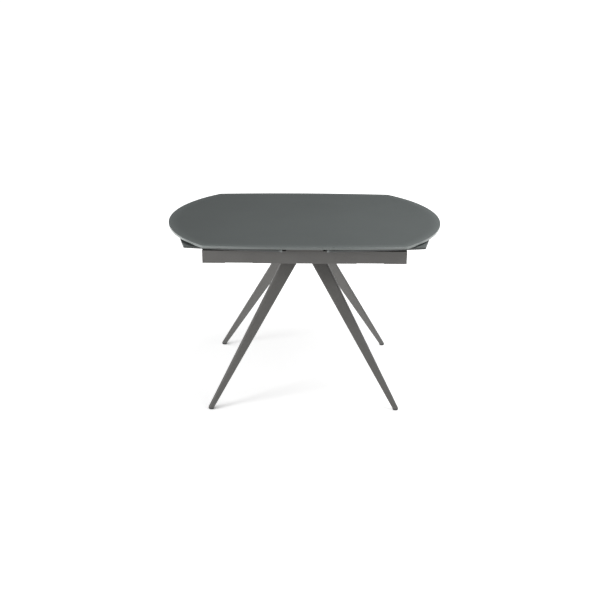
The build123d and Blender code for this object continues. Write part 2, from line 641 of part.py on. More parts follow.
def make_lift_pins(name, side):
    with BuildPart() as pins:
        for end in ENDS.values():
            lower = pivot_spots(side, LOWER_PIVOT_Z, 0)
            upper = pivot_spots(side, UPPER_PIVOT_Z, ARM_REACH)
            reach = SHEET + ARM_PLAY + ARM_THICKNESS
            for spots, seat, inward in ((lower, EAR_INNER_Y, 1), (upper, RAIL_OUTER_Y, -1)):
                with BuildSketch(across(end * seat)):
                    with Locations(spots):
                        Circle(PIN_RADIUS)
                extrude(amount=-end * inward * reach)
                with BuildSketch(across(end * seat)):
                    with Locations(spots):
                        Circle(PIN_HEAD_RADIUS)
                extrude(amount=end * inward * PIN_HEAD)
    save(pins.part, f"{name}_lift_pins")


def make_lift_springs(name, side):
    """Extension springs between the carriage tie and the lugs of the leaf frame."""
    start = CARRIAGE_TIE_X + CARRIAGE_TIE_WIDTH / 2
    spots = ((-SPRING_Y, SPRING_Z), (SPRING_Y, SPRING_Z))
    with BuildPart() as springs:
        with BuildSketch(Plane.YZ.offset(side * start)):
            with Locations(*spots):
                Circle(SPRING_WIRE / 2)
        extrude(amount=side * SPRING_LENGTH)
        with BuildSketch(Plane.YZ.offset(side * (start + SPRING_HOOK))):
            with Locations(*spots):
                Circle(SPRING_RADIUS)
        extrude(amount=side * (SPRING_LENGTH - 2 * SPRING_HOOK))
    save(springs.part, f"{name}_lift_springs")


# ---------------------------------------------------------------- buffers and bolts

def make_closing_buffers():
    """Rubber blocks on the cross tubes that the carriages close against."""
    length = CARRIAGE_START - BUFFER_PLAY - CROSS_OUTER / 2
    centre_y = SLIDE_FACE_Y - CARRIAGE_WIDTH / 2
    centre_z = CARRIAGE_BOTTOM + BUFFER_HEIGHT / 2
    with BuildPart() as buffers:
        for side in SIDES.values():
            with BuildSketch(Plane.YZ.offset(side * CROSS_OUTER / 2)):
                with Locations((-centre_y, centre_z), (centre_y, centre_z)):
                    RectangleRounded(BUFFER_DEPTH, BUFFER_HEIGHT, BUFFER_ROUND)
            extrude(amount=side * length)
    save(buffers.part, "closing_buffers")


def make_bolts(label, spots, seat, shank, head_sketch, head):
    """Bolts on upright axes: shank and head are signed lengths from the seat."""
    with BuildPart() as bolts:
        with BuildSketch(Plane.XY.offset(seat)):
            with Locations(spots):
                Circle(BOLT_RADIUS)
        extrude(amount=shank)
        with BuildSketch(Plane.XY.offset(seat)):
            with Locations(spots):
                head_sketch()
        extrude(amount=head)
    save(bolts.part, label)


def hexagon():
    RegularPolygon(BOLT_HEAD_FLATS / 2, 6, major_radius=False)


def button():
    Circle(BUTTON_HEAD_RADIUS)


def make_bearer_bolts():
    spots = [(side * CROSS_X, row) for side in (-1, 1) for row in bearer_bolt_rows()]
    shank = CROSS_TOP - TUBE_WALL - BOLT_REACH - BEARER_TOP
    make_bolts("bearer_bolts", spots, BEARER_TOP, shank, button, BUTTON_HEAD)


def make_hub_bolts():
    spots = [(side * CROSS_X, row) for side in (-1, 1) for row in hub_bolt_rows()]
    shank = HUB_PLATE + TUBE_WALL + BOLT_REACH
    make_bolts("hub_bolts", spots, HUB_BOTTOM, shank, hexagon, -BOLT_HEAD)


def make_leg_bolts():
    spots = [(x, end * LEG_TOP_Y + y) for end in (-1, 1) for x, y in flange_bolt_spots()]
    shank = FLANGE_PLATE + HUB_PLATE - BOLT_CLEARANCE
    make_bolts("leg_bolts", spots, LEG_TOP_Z, shank, hexagon, -BOLT_HEAD)


# ---------------------------------------------------------------- the whole table

def main():
    os.makedirs("parts", exist_ok=True)
    make_top_glass()
    make_top_bond_discs()
    make_hub_plate()
    make_foot_glides()
    make_closing_buffers()
    make_bearer_bolts()
    make_hub_bolts()
    make_leg_bolts()
    for end_name, end in ENDS.items():
        make_beam(end_name, end)
        make_top_bracket(end_name, end)
        make_leg_flange(end_name, end)
    for name, side in SIDES.items():
        make_cross_tube(name, side)
        make_top_bearer(name, side)
        make_leaf_glass(name, side)
        make_slide_middles(name, side)
        make_slide_inners(name, side)
        make_outer_cages(name, side)
        make_inner_cages(name, side)
        make_carriage_tie(name, side)
        make_carriage_screws(name, side)
        make_leaf_bar(f"{name}_inner_leaf_bar", side, INNER_BAR_X, True)
        make_leaf_bar(f"{name}_outer_leaf_bar", side, OUTER_BAR_X, False)
        make_leaf_bond_discs(name, side)
        make_lift_arms(name, side)
        make_lift_pins(name, side)
        make_lift_springs(name, side)
        for end_name, end in ENDS.items():
            make_leg(f"{end_name}_{name}_leg", side, end)
            make_slide_outer(f"{end_name}_{name}", side, end)
            make_carriage(f"{end_name}_{name}", side, end)
            make_leaf_rail(f"{end_name}_{name}", side, end)


main()
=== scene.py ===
# %% [markdown]
# # An extending dining table in satin glass and powder-coated steel
#
# The table has a fixed glass top, two glass leaves stored under it, a steel frame with
# ball slides, and four tapered legs.  The CAD model already has every solid piece at its
# real size.  This lesson dresses it: finishes for the surfaces, and finer shapes where
# the CAD is kept simple, such as wound springs, bolt heads, bearing balls and welds.
#
# The CAD is loaded first, because every later position is read from it.

# %% Load the table
import json
import math

import bmesh
import bpy
from mathutils import Matrix, Quaternion, Vector


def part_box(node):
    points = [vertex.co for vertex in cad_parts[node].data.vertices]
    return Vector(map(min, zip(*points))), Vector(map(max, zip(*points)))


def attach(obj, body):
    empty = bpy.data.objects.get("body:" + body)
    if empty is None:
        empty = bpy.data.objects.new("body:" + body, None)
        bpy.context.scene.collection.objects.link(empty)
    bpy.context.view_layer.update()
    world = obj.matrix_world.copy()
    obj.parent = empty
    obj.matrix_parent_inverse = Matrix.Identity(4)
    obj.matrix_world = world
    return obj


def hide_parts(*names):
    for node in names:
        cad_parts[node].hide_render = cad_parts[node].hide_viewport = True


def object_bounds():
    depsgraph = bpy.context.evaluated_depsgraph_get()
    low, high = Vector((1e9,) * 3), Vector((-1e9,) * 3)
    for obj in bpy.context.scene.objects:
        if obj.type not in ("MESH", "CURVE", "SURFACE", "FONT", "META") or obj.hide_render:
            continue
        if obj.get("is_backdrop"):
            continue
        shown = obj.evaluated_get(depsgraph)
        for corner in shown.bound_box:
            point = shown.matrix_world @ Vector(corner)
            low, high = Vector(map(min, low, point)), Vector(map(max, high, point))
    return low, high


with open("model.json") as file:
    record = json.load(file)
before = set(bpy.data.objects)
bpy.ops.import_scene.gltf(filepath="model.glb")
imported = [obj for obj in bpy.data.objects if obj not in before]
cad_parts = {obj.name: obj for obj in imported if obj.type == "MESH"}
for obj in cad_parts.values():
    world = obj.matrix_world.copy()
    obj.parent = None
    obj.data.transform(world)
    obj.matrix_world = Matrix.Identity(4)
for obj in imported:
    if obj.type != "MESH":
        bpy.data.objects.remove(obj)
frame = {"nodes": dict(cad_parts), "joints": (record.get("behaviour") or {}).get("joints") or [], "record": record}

scene = bpy.context.scene
cad_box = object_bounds()
nodes = frame["nodes"]
MM = 0.001
SIDES = {"left": -1, "right": 1}
ENDS = {"front": -1, "rear": 1}


def put(name, data):
    """Put an object into the scene."""
    thing = bpy.data.objects.new(name, data)
    scene.collection.objects.link(thing)
    return thing


print("loaded", len(nodes), "pieces, overall size", [round(v, 4) for v in cad_box[1] - cad_box[0]])

# %% [markdown]
# ## The camera
#
# A product camera stands in front of the table, just above the eye height of a
# standing person, and looks slightly down, so that the whole top and all four feet are
# seen.  A longish lens keeps the proportions calm.  The aim is a pitch and a very small
# roll rather than a target object, because two angles say exactly what is meant.

# %% Place the camera
LENS_MM = 53.58
CAMERA_PLACE = Vector((-0.0175, -3.858, 1.8166))
CAMERA_PITCH = 0.3571
CAMERA_ROLL = 0.0063

lens = bpy.data.cameras.new("table_camera")
lens.lens = LENS_MM
lens.sensor_width = 36.0
lens.clip_end = 60.0
camera = put("table_camera", lens)
camera.rotation_mode = "QUATERNION"
camera.location = CAMERA_PLACE
tilt = Quaternion((1, 0, 0), math.pi / 2 - CAMERA_PITCH)
camera.rotation_quaternion = tilt @ Quaternion((0, 0, 1), CAMERA_ROLL)
scene.camera = camera
scene.view_settings.view_transform = "Standard"
print("camera", LENS_MM, "mm,", round(math.degrees(CAMERA_PITCH), 1), "degrees down")

# %% [markdown]
# ## Helpers for node trees
#
# The world, a material and a Geometry Nodes tree are all lists of nodes and links.  They
# could be drawn by hand in the editor, but a script can be read and run again.  A helper
# adds one kind of node, sets its values and links its inputs, so the recipes stay short.

# %% Write the node helpers
def add(tree, kind, inputs=(), **properties):
    """Add a node; each input, keyed by name or number, is a plain value or a socket."""
    made = tree.nodes.new(kind)
    for name, value in properties.items():
        setattr(made, name, value)
    for key, value in dict(inputs).items():
        if isinstance(value, bpy.types.NodeSocket):
            tree.links.new(value, made.inputs[key])
        else:
            made.inputs[key].default_value = value
    return made


def maths(tree, operation, *terms):
    """One sum of numbers or sockets."""
    return add(tree, "ShaderNodeMath", enumerate(terms), operation=operation).outputs[0]


def point(tree, x=0.0, y=0.0, z=0.0):
    """A vector from numbers or sockets."""
    return add(tree, "ShaderNodeCombineXYZ", enumerate((x, y, z))).outputs[0]


def axis(tree, place, letter):
    """One coordinate of a place."""
    return add(tree, "ShaderNodeSeparateXYZ", {0: place}).outputs[letter]


def span(tree, source, low, high, start=0.3, stop=0.7):
    """Carry a value from start..stop to low..high."""
    inputs = {"Value": source, "From Min": start, "From Max": stop, "To Min": low, "To Max": high}
    return add(tree, "ShaderNodeMapRange", inputs).outputs["Result"]


def seen_directly(tree):
    """1 for a ray of the camera, a gloss or a clear surface, 0 for one that carries light."""
    rays = add(tree, "ShaderNodeLightPath").outputs
    bare = maths(tree, "MAXIMUM", rays["Is Camera Ray"], rays["Is Transmission Ray"])
    return maths(tree, "MAXIMUM", bare, rays["Is Glossy Ray"])


print("node helpers ready")

# %% [markdown]
# ## The studio
#
# A white sweep shows a dark table best.  Only what the camera, a gloss or a clear
# surface sees is pure white: the light itself stays at a plain level, so that a colour
# renders about as it is written.  Light Path tells these rays apart.

# %% Light the room
AMBIENT = 0.12
SKY_SEEN = 1.05

world = bpy.data.worlds.new("studio")
scene.world = world
world.use_nodes = True
room = world.node_tree
sky = room.nodes["Background"]
sky.inputs["Color"].default_value = (1.0, 1.0, 1.0, 1.0)
strength = span(room, seen_directly(room), AMBIENT, SKY_SEEN, 0.0, 1.0)
room.links.new(strength, sky.inputs["Strength"])
print("ambient level", AMBIENT, "seen as", SKY_SEEN)

# %% [markdown]
# A softbox is a lamp behind a white cloth, and an area lamp is just that.  The key light
# is small, low and left of the front: it draws the shadows beside the left feet.  A large
# one to the right keeps the other faces of the legs from going dark, and a third overhead
# evens out the top.  All three are hidden from the camera.

# %% Hang the softboxes
AIM = Vector((0.0, 0.0, 0.5))
SOFTBOXES = {
    "key_softbox": ((-2.7, -1.56, 1.35), 0.9, 42.0),
    "right_softbox": ((3.2, -2.0, 1.75), 3.2, 26.0),
    "overhead_softbox": ((1.1, -0.45, 2.5), 1.6, 33.0),
}

for name, (place, width, watts) in SOFTBOXES.items():
    lamp = bpy.data.lights.new(name, "AREA")
    lamp.shape = "RECTANGLE"
    lamp.size = lamp.size_y = width
    lamp.energy = watts
    stand = put(name, lamp)
    stand.location = place
    stand.rotation_mode = "QUATERNION"
    stand.rotation_quaternion = (AIM - Vector(place)).to_track_quat("-Z", "Y")
    stand.visible_camera = False
    print(name, width, "m wide,", watts, "W")

# %% [markdown]
# ## What a finish is made of
#
# Each finish starts from the standard shader and the Object coordinates, in metres, so a
# pattern keeps its real size and moves with its piece.  Noise stands for grain and cloud,
# a blend for two tones of one material, and a bump for relief that is finer than the mesh.

# %% Write the finish helpers
def new_finish(name, roughness, metallic=0.0, ior=1.5):
    """An empty finish: its tree, its shader and its Object coordinates."""
    finish = bpy.data.materials.new(name)
    finish.use_nodes = True
    tree = finish.node_tree
    shader = tree.nodes["Principled BSDF"]
    shader.inputs["Roughness"].default_value = roughness
    shader.inputs["Metallic"].default_value = metallic
    shader.inputs["IOR"].default_value = ior
    place = add(tree, "ShaderNodeTexCoord").outputs["Object"]
    return finish, tree, shader, place


def noise(tree, place, scale, detail=2.0, stretch=None):
    """Noise at so many lumps per metre, optionally stretched along an axis."""
    if stretch:
        place = add(tree, "ShaderNodeMapping", {"Scale": stretch, "Vector": place}).outputs[0]
    made = add(tree, "ShaderNodeTexNoise", {"Scale": scale, "Detail": detail, "Vector": place})
    return made.outputs["Fac"]


def blend(tree, share, dark, light):
    """Mix two colours, each a colour or a socket, by a share from 0 to 1."""
    dark, light = ((*tone, 1.0) if isinstance(tone, tuple) else tone for tone in (dark, light))
    inputs = {"Factor": share, 6: dark, 7: light}
    return add(tree, "ShaderNodeMix", inputs, data_type="RGBA").outputs[2]


def dress(tree, shader, colour, roughness):
    """Link the colour and the roughness of a finish."""
    tree.links.new(colour, shader.inputs["Base Color"])
    tree.links.new(roughness, shader.inputs["Roughness"])


def relief(tree, shader, height, strength, depth):
    """Bump of a real depth in metres."""
    bump = add(tree, "ShaderNodeBump", {"Strength": strength, "Distance": depth, "Height": height})
    tree.links.new(bump.outputs["Normal"], shader.inputs["Normal"])


print("finish helpers ready")

# %% [markdown]
# ## The floor
#
# The floor is one plain white sheet, with a glow that differs for two kinds of rays.
# What it sends out is strongest under the middle of the table, like the light that a
# white room throws back up.  What is seen of it is lifted to pure white far out and
# towards the right, and kept low near the feet, so that the shadows of the lamps stay.
#
# Beside a foot, the floor gets a painted shadow, deepest on the side away from the key
# light.  Ambient Occlusion tells how much stands near a point.  Its normal leans towards
# the key, so it counts what screens the point from that side, and the seen glow is
# lowered there.

# %% Lay the floor
FLOOR_HALF = 9.0
FLOOR_WHITE, FIBRE_TONE = 0.88, 0.02
GLOW_MIDDLE, GLOW_OUTSIDE = 1.25, 0.35
GLOW_FADES = (0.25, 0.75)
SEEN_FRONT, SEEN_BEHIND, SEEN_OUTSIDE = 0.58, 0.72, 1.10
FRONT_TO_BEHIND = (-0.38, -0.05)
OUTSIDE_FADES = (0.62, 1.9)
RIGHT_LIFT, RIGHT_FADES = 0.08, (0.15, 0.35)
KEY_SIDE = (-0.70, -0.62, 0.35)
CONTACT_REACH, CONTACT_SHADE = 0.10, 0.62
CONTACT_RANGE, CONTACT_SAMPLES = (0.35, 0.90), 16
LEFT_FADES = (-0.1, 0.25)

paper, tree, shader, place = new_finish("white_paper", 0.9)
fibre = noise(tree, place, 700.0)
tone = blend(tree, fibre, (FLOOR_WHITE,) * 3, (FLOOR_WHITE + FIBRE_TONE,) * 3)
tree.links.new(tone, shader.inputs["Base Color"])
shader.inputs["Specular IOR Level"].default_value = 0.0
shader.inputs["Emission Color"].default_value = (1.0, 1.0, 1.0, 1.0)

reach = add(tree, "ShaderNodeVectorMath", {0: place}, operation="LENGTH").outputs["Value"]
along, across = axis(tree, place, "X"), axis(tree, place, "Y")
sent = span(tree, reach, GLOW_MIDDLE, GLOW_OUTSIDE, *GLOW_FADES)
near = span(tree, across, SEEN_FRONT, SEEN_BEHIND, *FRONT_TO_BEHIND)
lift = span(tree, reach, 0.0, SEEN_OUTSIDE - SEEN_FRONT, *OUTSIDE_FADES)
on_right = span(tree, along, 0.0, RIGHT_LIFT, *RIGHT_FADES)

# painted shadow: the seen glow is lowered where Ambient Occlusion finds something near, towards the key
towards_key = {"Distance": CONTACT_REACH, "Normal": point(tree, *KEY_SIDE)}
screen = add(tree, "ShaderNodeAmbientOcclusion", towards_key, samples=CONTACT_SAMPLES)
missing = span(tree, screen.outputs["AO"], CONTACT_SHADE, 0.0, *CONTACT_RANGE)
painted_contact_shadow = maths(tree, "MULTIPLY", missing, span(tree, along, 1.0, 0.0, *LEFT_FADES))
shown = maths(tree, "SUBTRACT", maths(tree, "ADD", near, lift), painted_contact_shadow)
shown = maths(tree, "ADD", shown, on_right)
glow = add(tree, "ShaderNodeMix", {"Factor": seen_directly(tree), 2: sent, 3: shown})
tree.links.new(glow.outputs[0], shader.inputs["Emission Strength"])

sheet = bpy.data.meshes.new("floor")
corners = [(-1, -1), (1, -1), (1, 1), (-1, 1)]
sheet.from_pydata([(a * FLOOR_HALF, b * FLOOR_HALF, 0.0) for a, b in corners], [], [(0, 1, 2, 3)])
sheet.materials.append(paper)
floor = put("floor", sheet)
floor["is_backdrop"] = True
print("floor", 2 * FLOOR_HALF, "m square")

# %% [markdown]
# ## The finish of the steel frame
#
# Everything that carries load is coated in a fine-textured, warm dark grey powder.  Such
# a coat melts into tiny rounded grains about half a millimetre apart, over a slow ripple
# like the peel of an orange, with a faint mottle where it lies thicker.  A picture would
# repeat, so three noises do it: the grain sets the gloss and most of the relief, the peel
# adds to the relief, and the mottle mixes two tones.  The coat is also painted darker
# towards the floor, as a painted shade.

# %% Mix the powder coat
MOTTLE_SCALE, PEEL_SCALE, GRAIN_SCALE = 14.0, 420.0, 1700.0
SPECK_GAIN, SPECK_SHARE, SPECK_RANGE = 1.7, 0.30, (0.45, 0.75)
COAT_ROUGHNESS = (0.45, 0.65)
PEEL_SHARE = 0.6
COAT_RELIEF = 0.18 * MM
PAINTED_FLOOR_SHADE = 0.18
PAINTED_SHADE_FADES = (0.02, 0.45)


def powder_coat(name, dark, light):
    """A grained coat: bright specks on a mottled tone, with a painted shade near the floor."""
    coat, tree, shader, place = new_finish(name, 0.55)
    mottle = noise(tree, place, MOTTLE_SCALE, 3.0)
    grain = noise(tree, place, GRAIN_SCALE, 1.0)
    peel = noise(tree, place, PEEL_SCALE, 1.0)
    tone = blend(tree, span(tree, mottle, 0.0, 1.0), dark, light)
    # painted shade: the tone is darkened towards the floor
    painted_shade = span(tree, axis(tree, place, "Z"), PAINTED_FLOOR_SHADE, 0.0, *PAINTED_SHADE_FADES)
    tone = blend(tree, painted_shade, tone, (0.0, 0.0, 0.0))
    specks = span(tree, grain, 0.0, SPECK_SHARE, *SPECK_RANGE)
    tone = blend(tree, specks, tone, tuple(SPECK_GAIN * c for c in light))
    dress(tree, shader, tone, span(tree, grain, *COAT_ROUGHNESS))
    bumps = maths(tree, "ADD", maths(tree, "MULTIPLY", peel, PEEL_SHARE), grain)
    relief(tree, shader, bumps, strength=0.55, depth=COAT_RELIEF)
    return coat


steel_grey = powder_coat("warm_grey_powder_coat", (0.115, 0.112, 0.106), (0.129, 0.126, 0.120))
print("made", steel_grey.name)

# %% [markdown]
# ## The satin glass
#
# The top is toughened glass, etched to a satin on its face and lacquered dark grey
# underneath.  Nothing is seen through the lacquer, so an opaque shader looks right
# without the noise of a clear one.  The etch scatters light, so the face has a soft even
# tone.  Near the rim it is painted a little paler, as painted light for the light that
# enters from the side.  The height of a point tells the face from the back, and its
# distance from the outline the painted light.
#
# The ground edge is polished and shows the green-grey of the glass.  It is a finish of
# its own, with fine grinding lines that run round it.

# %% Mix the satin glass
FACE_DARK = (0.115, 0.127, 0.125)
FACE_LIGHT = (0.124, 0.137, 0.135)
# painted light: the paler tone of the face near the rim
RIM_PAINTED_LIGHT = (0.170, 0.187, 0.184)
SIDE_EDGE_TINT = (0.165, 0.183, 0.178)
# the edge's own tone with painted light on the round ends of the top
END_EDGE_TINT_AND_PAINTED_LIGHT = (0.258, 0.284, 0.276)
# the edge's own tone darkened by painted shade along a leaf's edge
LEAF_EDGE_TINT_AND_PAINTED_SHADE = (0.045, 0.051, 0.049)
# painted highlight along the hollow edge of a leaf
HOLLOW_EDGE_PAINTED_HIGHLIGHT = (0.52, 0.56, 0.55)
LACQUER = (0.072, 0.078, 0.079)
CLOUD_SCALE, ETCH_SCALE, GRIND_SCALE = 2.6, 2600.0, 60.0
ETCHED_GLOSS = 0.015
ETCHED_ROUGHNESS = (0.50, 0.56)
EDGE_ROUGHNESS = 0.18
GLASS_IOR = 1.52


def satin_glass(name, underside, upper, rim_light_share):
    """Etched on the face and lacquered on the back."""
    glass, tree, shader, place = new_finish(name, 0.5)
    shader.inputs["Specular IOR Level"].default_value = ETCHED_GLOSS
    cloud = noise(tree, place, CLOUD_SCALE)
    etch = noise(tree, place, ETCH_SCALE, 1.0)
    face = blend(tree, span(tree, cloud, 0.0, 1.0), FACE_DARK, FACE_LIGHT)
    # painted light: the face is painted paler near the rim
    face = blend(tree, rim_light_share(tree, place), face, RIM_PAINTED_LIGHT)
    is_face = span(tree, axis(tree, place, "Z"), 0.0, 1.0, underside, upper)
    tone = blend(tree, is_face, LACQUER, face)
    dress(tree, shader, tone, span(tree, etch, *ETCHED_ROUGHNESS))
    relief(tree, shader, etch, strength=0.12, depth=0.04 * MM)
    return glass


def ground_edge(name, edge_tint):
    """The polished edge: fine grinding lines run round it, level with the face."""
    edge, tree, shader, place = new_finish(name, EDGE_ROUGHNESS, ior=GLASS_IOR)
    lines = noise(tree, place, GRIND_SCALE, stretch=(1.0, 1.0, 60.0))
    gloss = span(tree, lines, EDGE_ROUGHNESS - 0.04, EDGE_ROUGHNESS + 0.06)
    dress(tree, shader, edge_tint(tree, place), gloss)
    relief(tree, shader, lines, strength=0.04, depth=0.01 * MM)
    return edge


print("glass recipes ready, face tone", FACE_DARK, "to", FACE_LIGHT)

# %% [markdown]
# ## Outlines from arcs
#
# The outline of each glass is a chain of arcs: a round end, a bowed long side, and a
# small corner arc that touches both.  The centre of a corner arc lies where two circles
# cross, so one helper that finds that crossing gives every corner, and the outline stays
# exact whatever the sizes are.

# %% Work out arcs and corners
SIDE_RADIUS = 5.0
ARC_STEP = 6.0 * MM


def crossing(centre_a, radius_a, centre_b, radius_b, towards):
    """The crossing of two circles that lies furthest towards a direction."""
    a, b = Vector(centre_a), Vector(centre_b)
    gap = (b - a).length
    along = (radius_a ** 2 - radius_b ** 2 + gap ** 2) / (2 * gap)
    aside = math.sqrt(radius_a ** 2 - along ** 2)
    way = (b - a) / gap
    normal = Vector((-way.y, way.x))
    spots = [a + along * way + sign * aside * normal for sign in (-1, 1)]
    return max(spots, key=lambda spot: spot.dot(Vector(towards)))


def arc(centre, start, stop, step):
    """Points on the short arc from start to stop, both included."""
    centre, start, stop = Vector(centre), Vector(start), Vector(stop)
    turn = (start - centre).angle_signed(stop - centre)
    count = max(2, math.ceil(abs(turn) * (start - centre).length / step))
    spots = []
    for index in range(count + 1):
        way = (start - centre).copy()
        way.rotate(Matrix.Rotation(-turn * index / count, 2))
        spots.append(centre + way)
    return spots


def join(*runs):
    """One run of points from several that share their ends."""
    whole = list(runs[0])
    for run in runs[1:]:
        whole.extend(run[1:])
    return whole


print("arc helpers ready, sides of radius", SIDE_RADIUS, "m")

# %% [markdown]
# ## Cutting the glass
#
# A glass slab is its outline, extruded, with both rims ground to a small arris.  A bevel
# with three segments makes that arris round, so that it carries a thin highlight.  The
# slope of a face says whether it takes the satin or the edge finish.  Wide level faces
# are shaded flat, because smooth shading would carry the tilt of the arris far across
# them.  The CAD pieces have the same size, so the new slabs stand in for them.

# %% Write the piece helpers
ARRIS, ARRIS_SEGMENTS = 1.0 * MM, 3
FACE_SLOPE = 0.9
SMOOTH_ANGLE = math.radians(32)
FLAT_AREA = 0.005
LEVEL = 1e-7
RIM_FALL = 2.0


def settle(name, mesh, body, slot, *replaced, smooth=SMOOTH_ANGLE):
    """Make a mesh a piece of the table that moves with a body."""
    mesh.shade_smooth()
    mesh.set_sharp_from_angle(angle=smooth)
    for face in mesh.polygons:
        if face.area > FLAT_AREA:
            face.use_smooth = False
    piece = put(name, mesh)
    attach(piece, body)
    if replaced:
        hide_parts(*replaced)
    return piece


def slab(name, outline, underside, thickness, face_finish, edge_finish):
    """A level plate with rounded rims; its steep faces take the edge finish."""
    build = bmesh.new()
    ring = [build.verts.new((spot.x, spot.y, underside)) for spot in outline]
    face = build.faces.new(ring)
    face.normal_update()
    if face.normal.z > 0:
        face.normal_flip()
    grown = bmesh.ops.extrude_face_region(build, geom=[face])
    raised = [item for item in grown["geom"] if isinstance(item, bmesh.types.BMVert)]
    bmesh.ops.translate(build, vec=(0, 0, thickness), verts=raised)
    bmesh.ops.recalc_face_normals(build, faces=build.faces)
    rims = [edge for edge in build.edges if abs(edge.verts[0].co.z - edge.verts[1].co.z) < LEVEL]
    bmesh.ops.bevel(
        build, geom=rims, offset=ARRIS, segments=ARRIS_SEGMENTS, profile=0.5, affect="EDGES")
    build.normal_update()
    for face in build.faces:
        face.material_index = int(abs(face.normal.z) < FACE_SLOPE)
    mesh = bpy.data.meshes.new(name)
    build.to_mesh(mesh)
    build.free()
    mesh.materials.append(face_finish)
    mesh.materials.append(edge_finish)
    return mesh


def rim_share(circles, band):
    """How near a point is to any of the circles that bound a glass, from 0 to 1."""
    def measure(tree, place):
        share = None
        for centre, radius, inside in circles:
            kind = "ShaderNodeVectorMath"
            gone = add(tree, kind, {0: place, 1: (*centre, 0.0)}, operation="SUBTRACT")
            flat = add(tree, kind, {0: gone.outputs[0], 1: (1, 1, 0)}, operation="MULTIPLY")
            reach = add(tree, kind, {0: flat.outputs[0]}, operation="LENGTH")
            here = span(tree, reach.outputs["Value"], 0.0, 1.0, radius - inside * band, radius)
            share = here if share is None else maths(tree, "MAXIMUM", share, here)
        return maths(tree, "POWER", share, RIM_FALL)
    return measure


print("arris", ARRIS_SEGMENTS, "segments over", round(ARRIS / MM, 2), "mm")

# %% [markdown]
# The fixed top is a round disc that two much larger circles cut down to a barrel.  So its
# two ends lie on one circle round the middle of the table.  One quarter of the outline is
# drawn and mirrored twice.  The round ends of its edge carry painted light, which makes
# them brighter than the long sides.

# %% Cut the fixed top
TOP_CORNER = 6.0 * MM
RIM_LIGHT_BAND = 55.0 * MM
PAINTED_LIGHT_STARTS, PAINTED_LIGHT_FULL = 0.15, 0.50

top_low, top_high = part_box("top_glass")
end_radius = top_high.x
side_centre = Vector((0.0, top_high.y - SIDE_RADIUS))
corner = crossing((0, 0), end_radius - TOP_CORNER, side_centre, SIDE_RADIUS - TOP_CORNER, (1, 1))
on_end = corner.normalized() * end_radius
on_side = side_centre + (corner - side_centre).normalized() * SIDE_RADIUS
quarter = join(
    arc((0, 0), (end_radius, 0), on_end, ARC_STEP),
    arc(corner, on_end, on_side, ARC_STEP / 8),
    arc(side_centre, on_side, (0, top_high.y), ARC_STEP * 3),
)
half = join(quarter, [Vector((-spot.x, spot.y)) for spot in reversed(quarter)])
outline = half + [Vector((spot.x, -spot.y)) for spot in reversed(half[1:-1])]
bows = [(side_centre, SIDE_RADIUS, 1), (-side_centre, SIDE_RADIUS, 1)]
top_rim_light = rim_share([((0, 0), end_radius, 1), *bows], RIM_LIGHT_BAND)


def top_edge(tree, place):
    """The ground edge: its own tone on the long sides, painted light round the two ends."""
    out = maths(tree, "ABSOLUTE", axis(tree, place, "X"))
    # painted light: the ends of the edge are painted brighter than the long sides
    painted_light = span(tree, out, 0.0, 1.0, PAINTED_LIGHT_STARTS, PAINTED_LIGHT_FULL)
    return blend(tree, painted_light, SIDE_EDGE_TINT, END_EDGE_TINT_AND_PAINTED_LIGHT)


top_finish = satin_glass("satin_glass_top", top_low.z, top_high.z, top_rim_light)
edge_finish = ground_edge("ground_edge_top", top_edge)
top_mesh = slab("glass_top", outline, top_low.z, top_high.z - top_low.z, top_finish, edge_finish)
settle("glass_top", top_mesh, "base", "satin_glass", "top_glass")
print("top outline of", len(outline), "points")

# %% [markdown]
# A leaf has a gentle round outer end, the same bowed sides as the top, and a hollow
# inner edge that lies round the end of the top once the leaf is out.  It shows there, and
# it carries a painted highlight, while the rest of the leaf's edge carries a painted shade.
# The sides are part of the same big circles as the top's, so the leaf is drawn where it
# lies when extended, and shifted back.

# %% Cut the two leaves
LEAF_END_RADIUS = 1.38
LEAF_CORNER = 10.0 * MM
LEAF_HORN = 3.0 * MM
LEAF_JOINT_GAP = 1.5 * MM
HOLLOW_HIGHLIGHT_BAND = 15.0 * MM

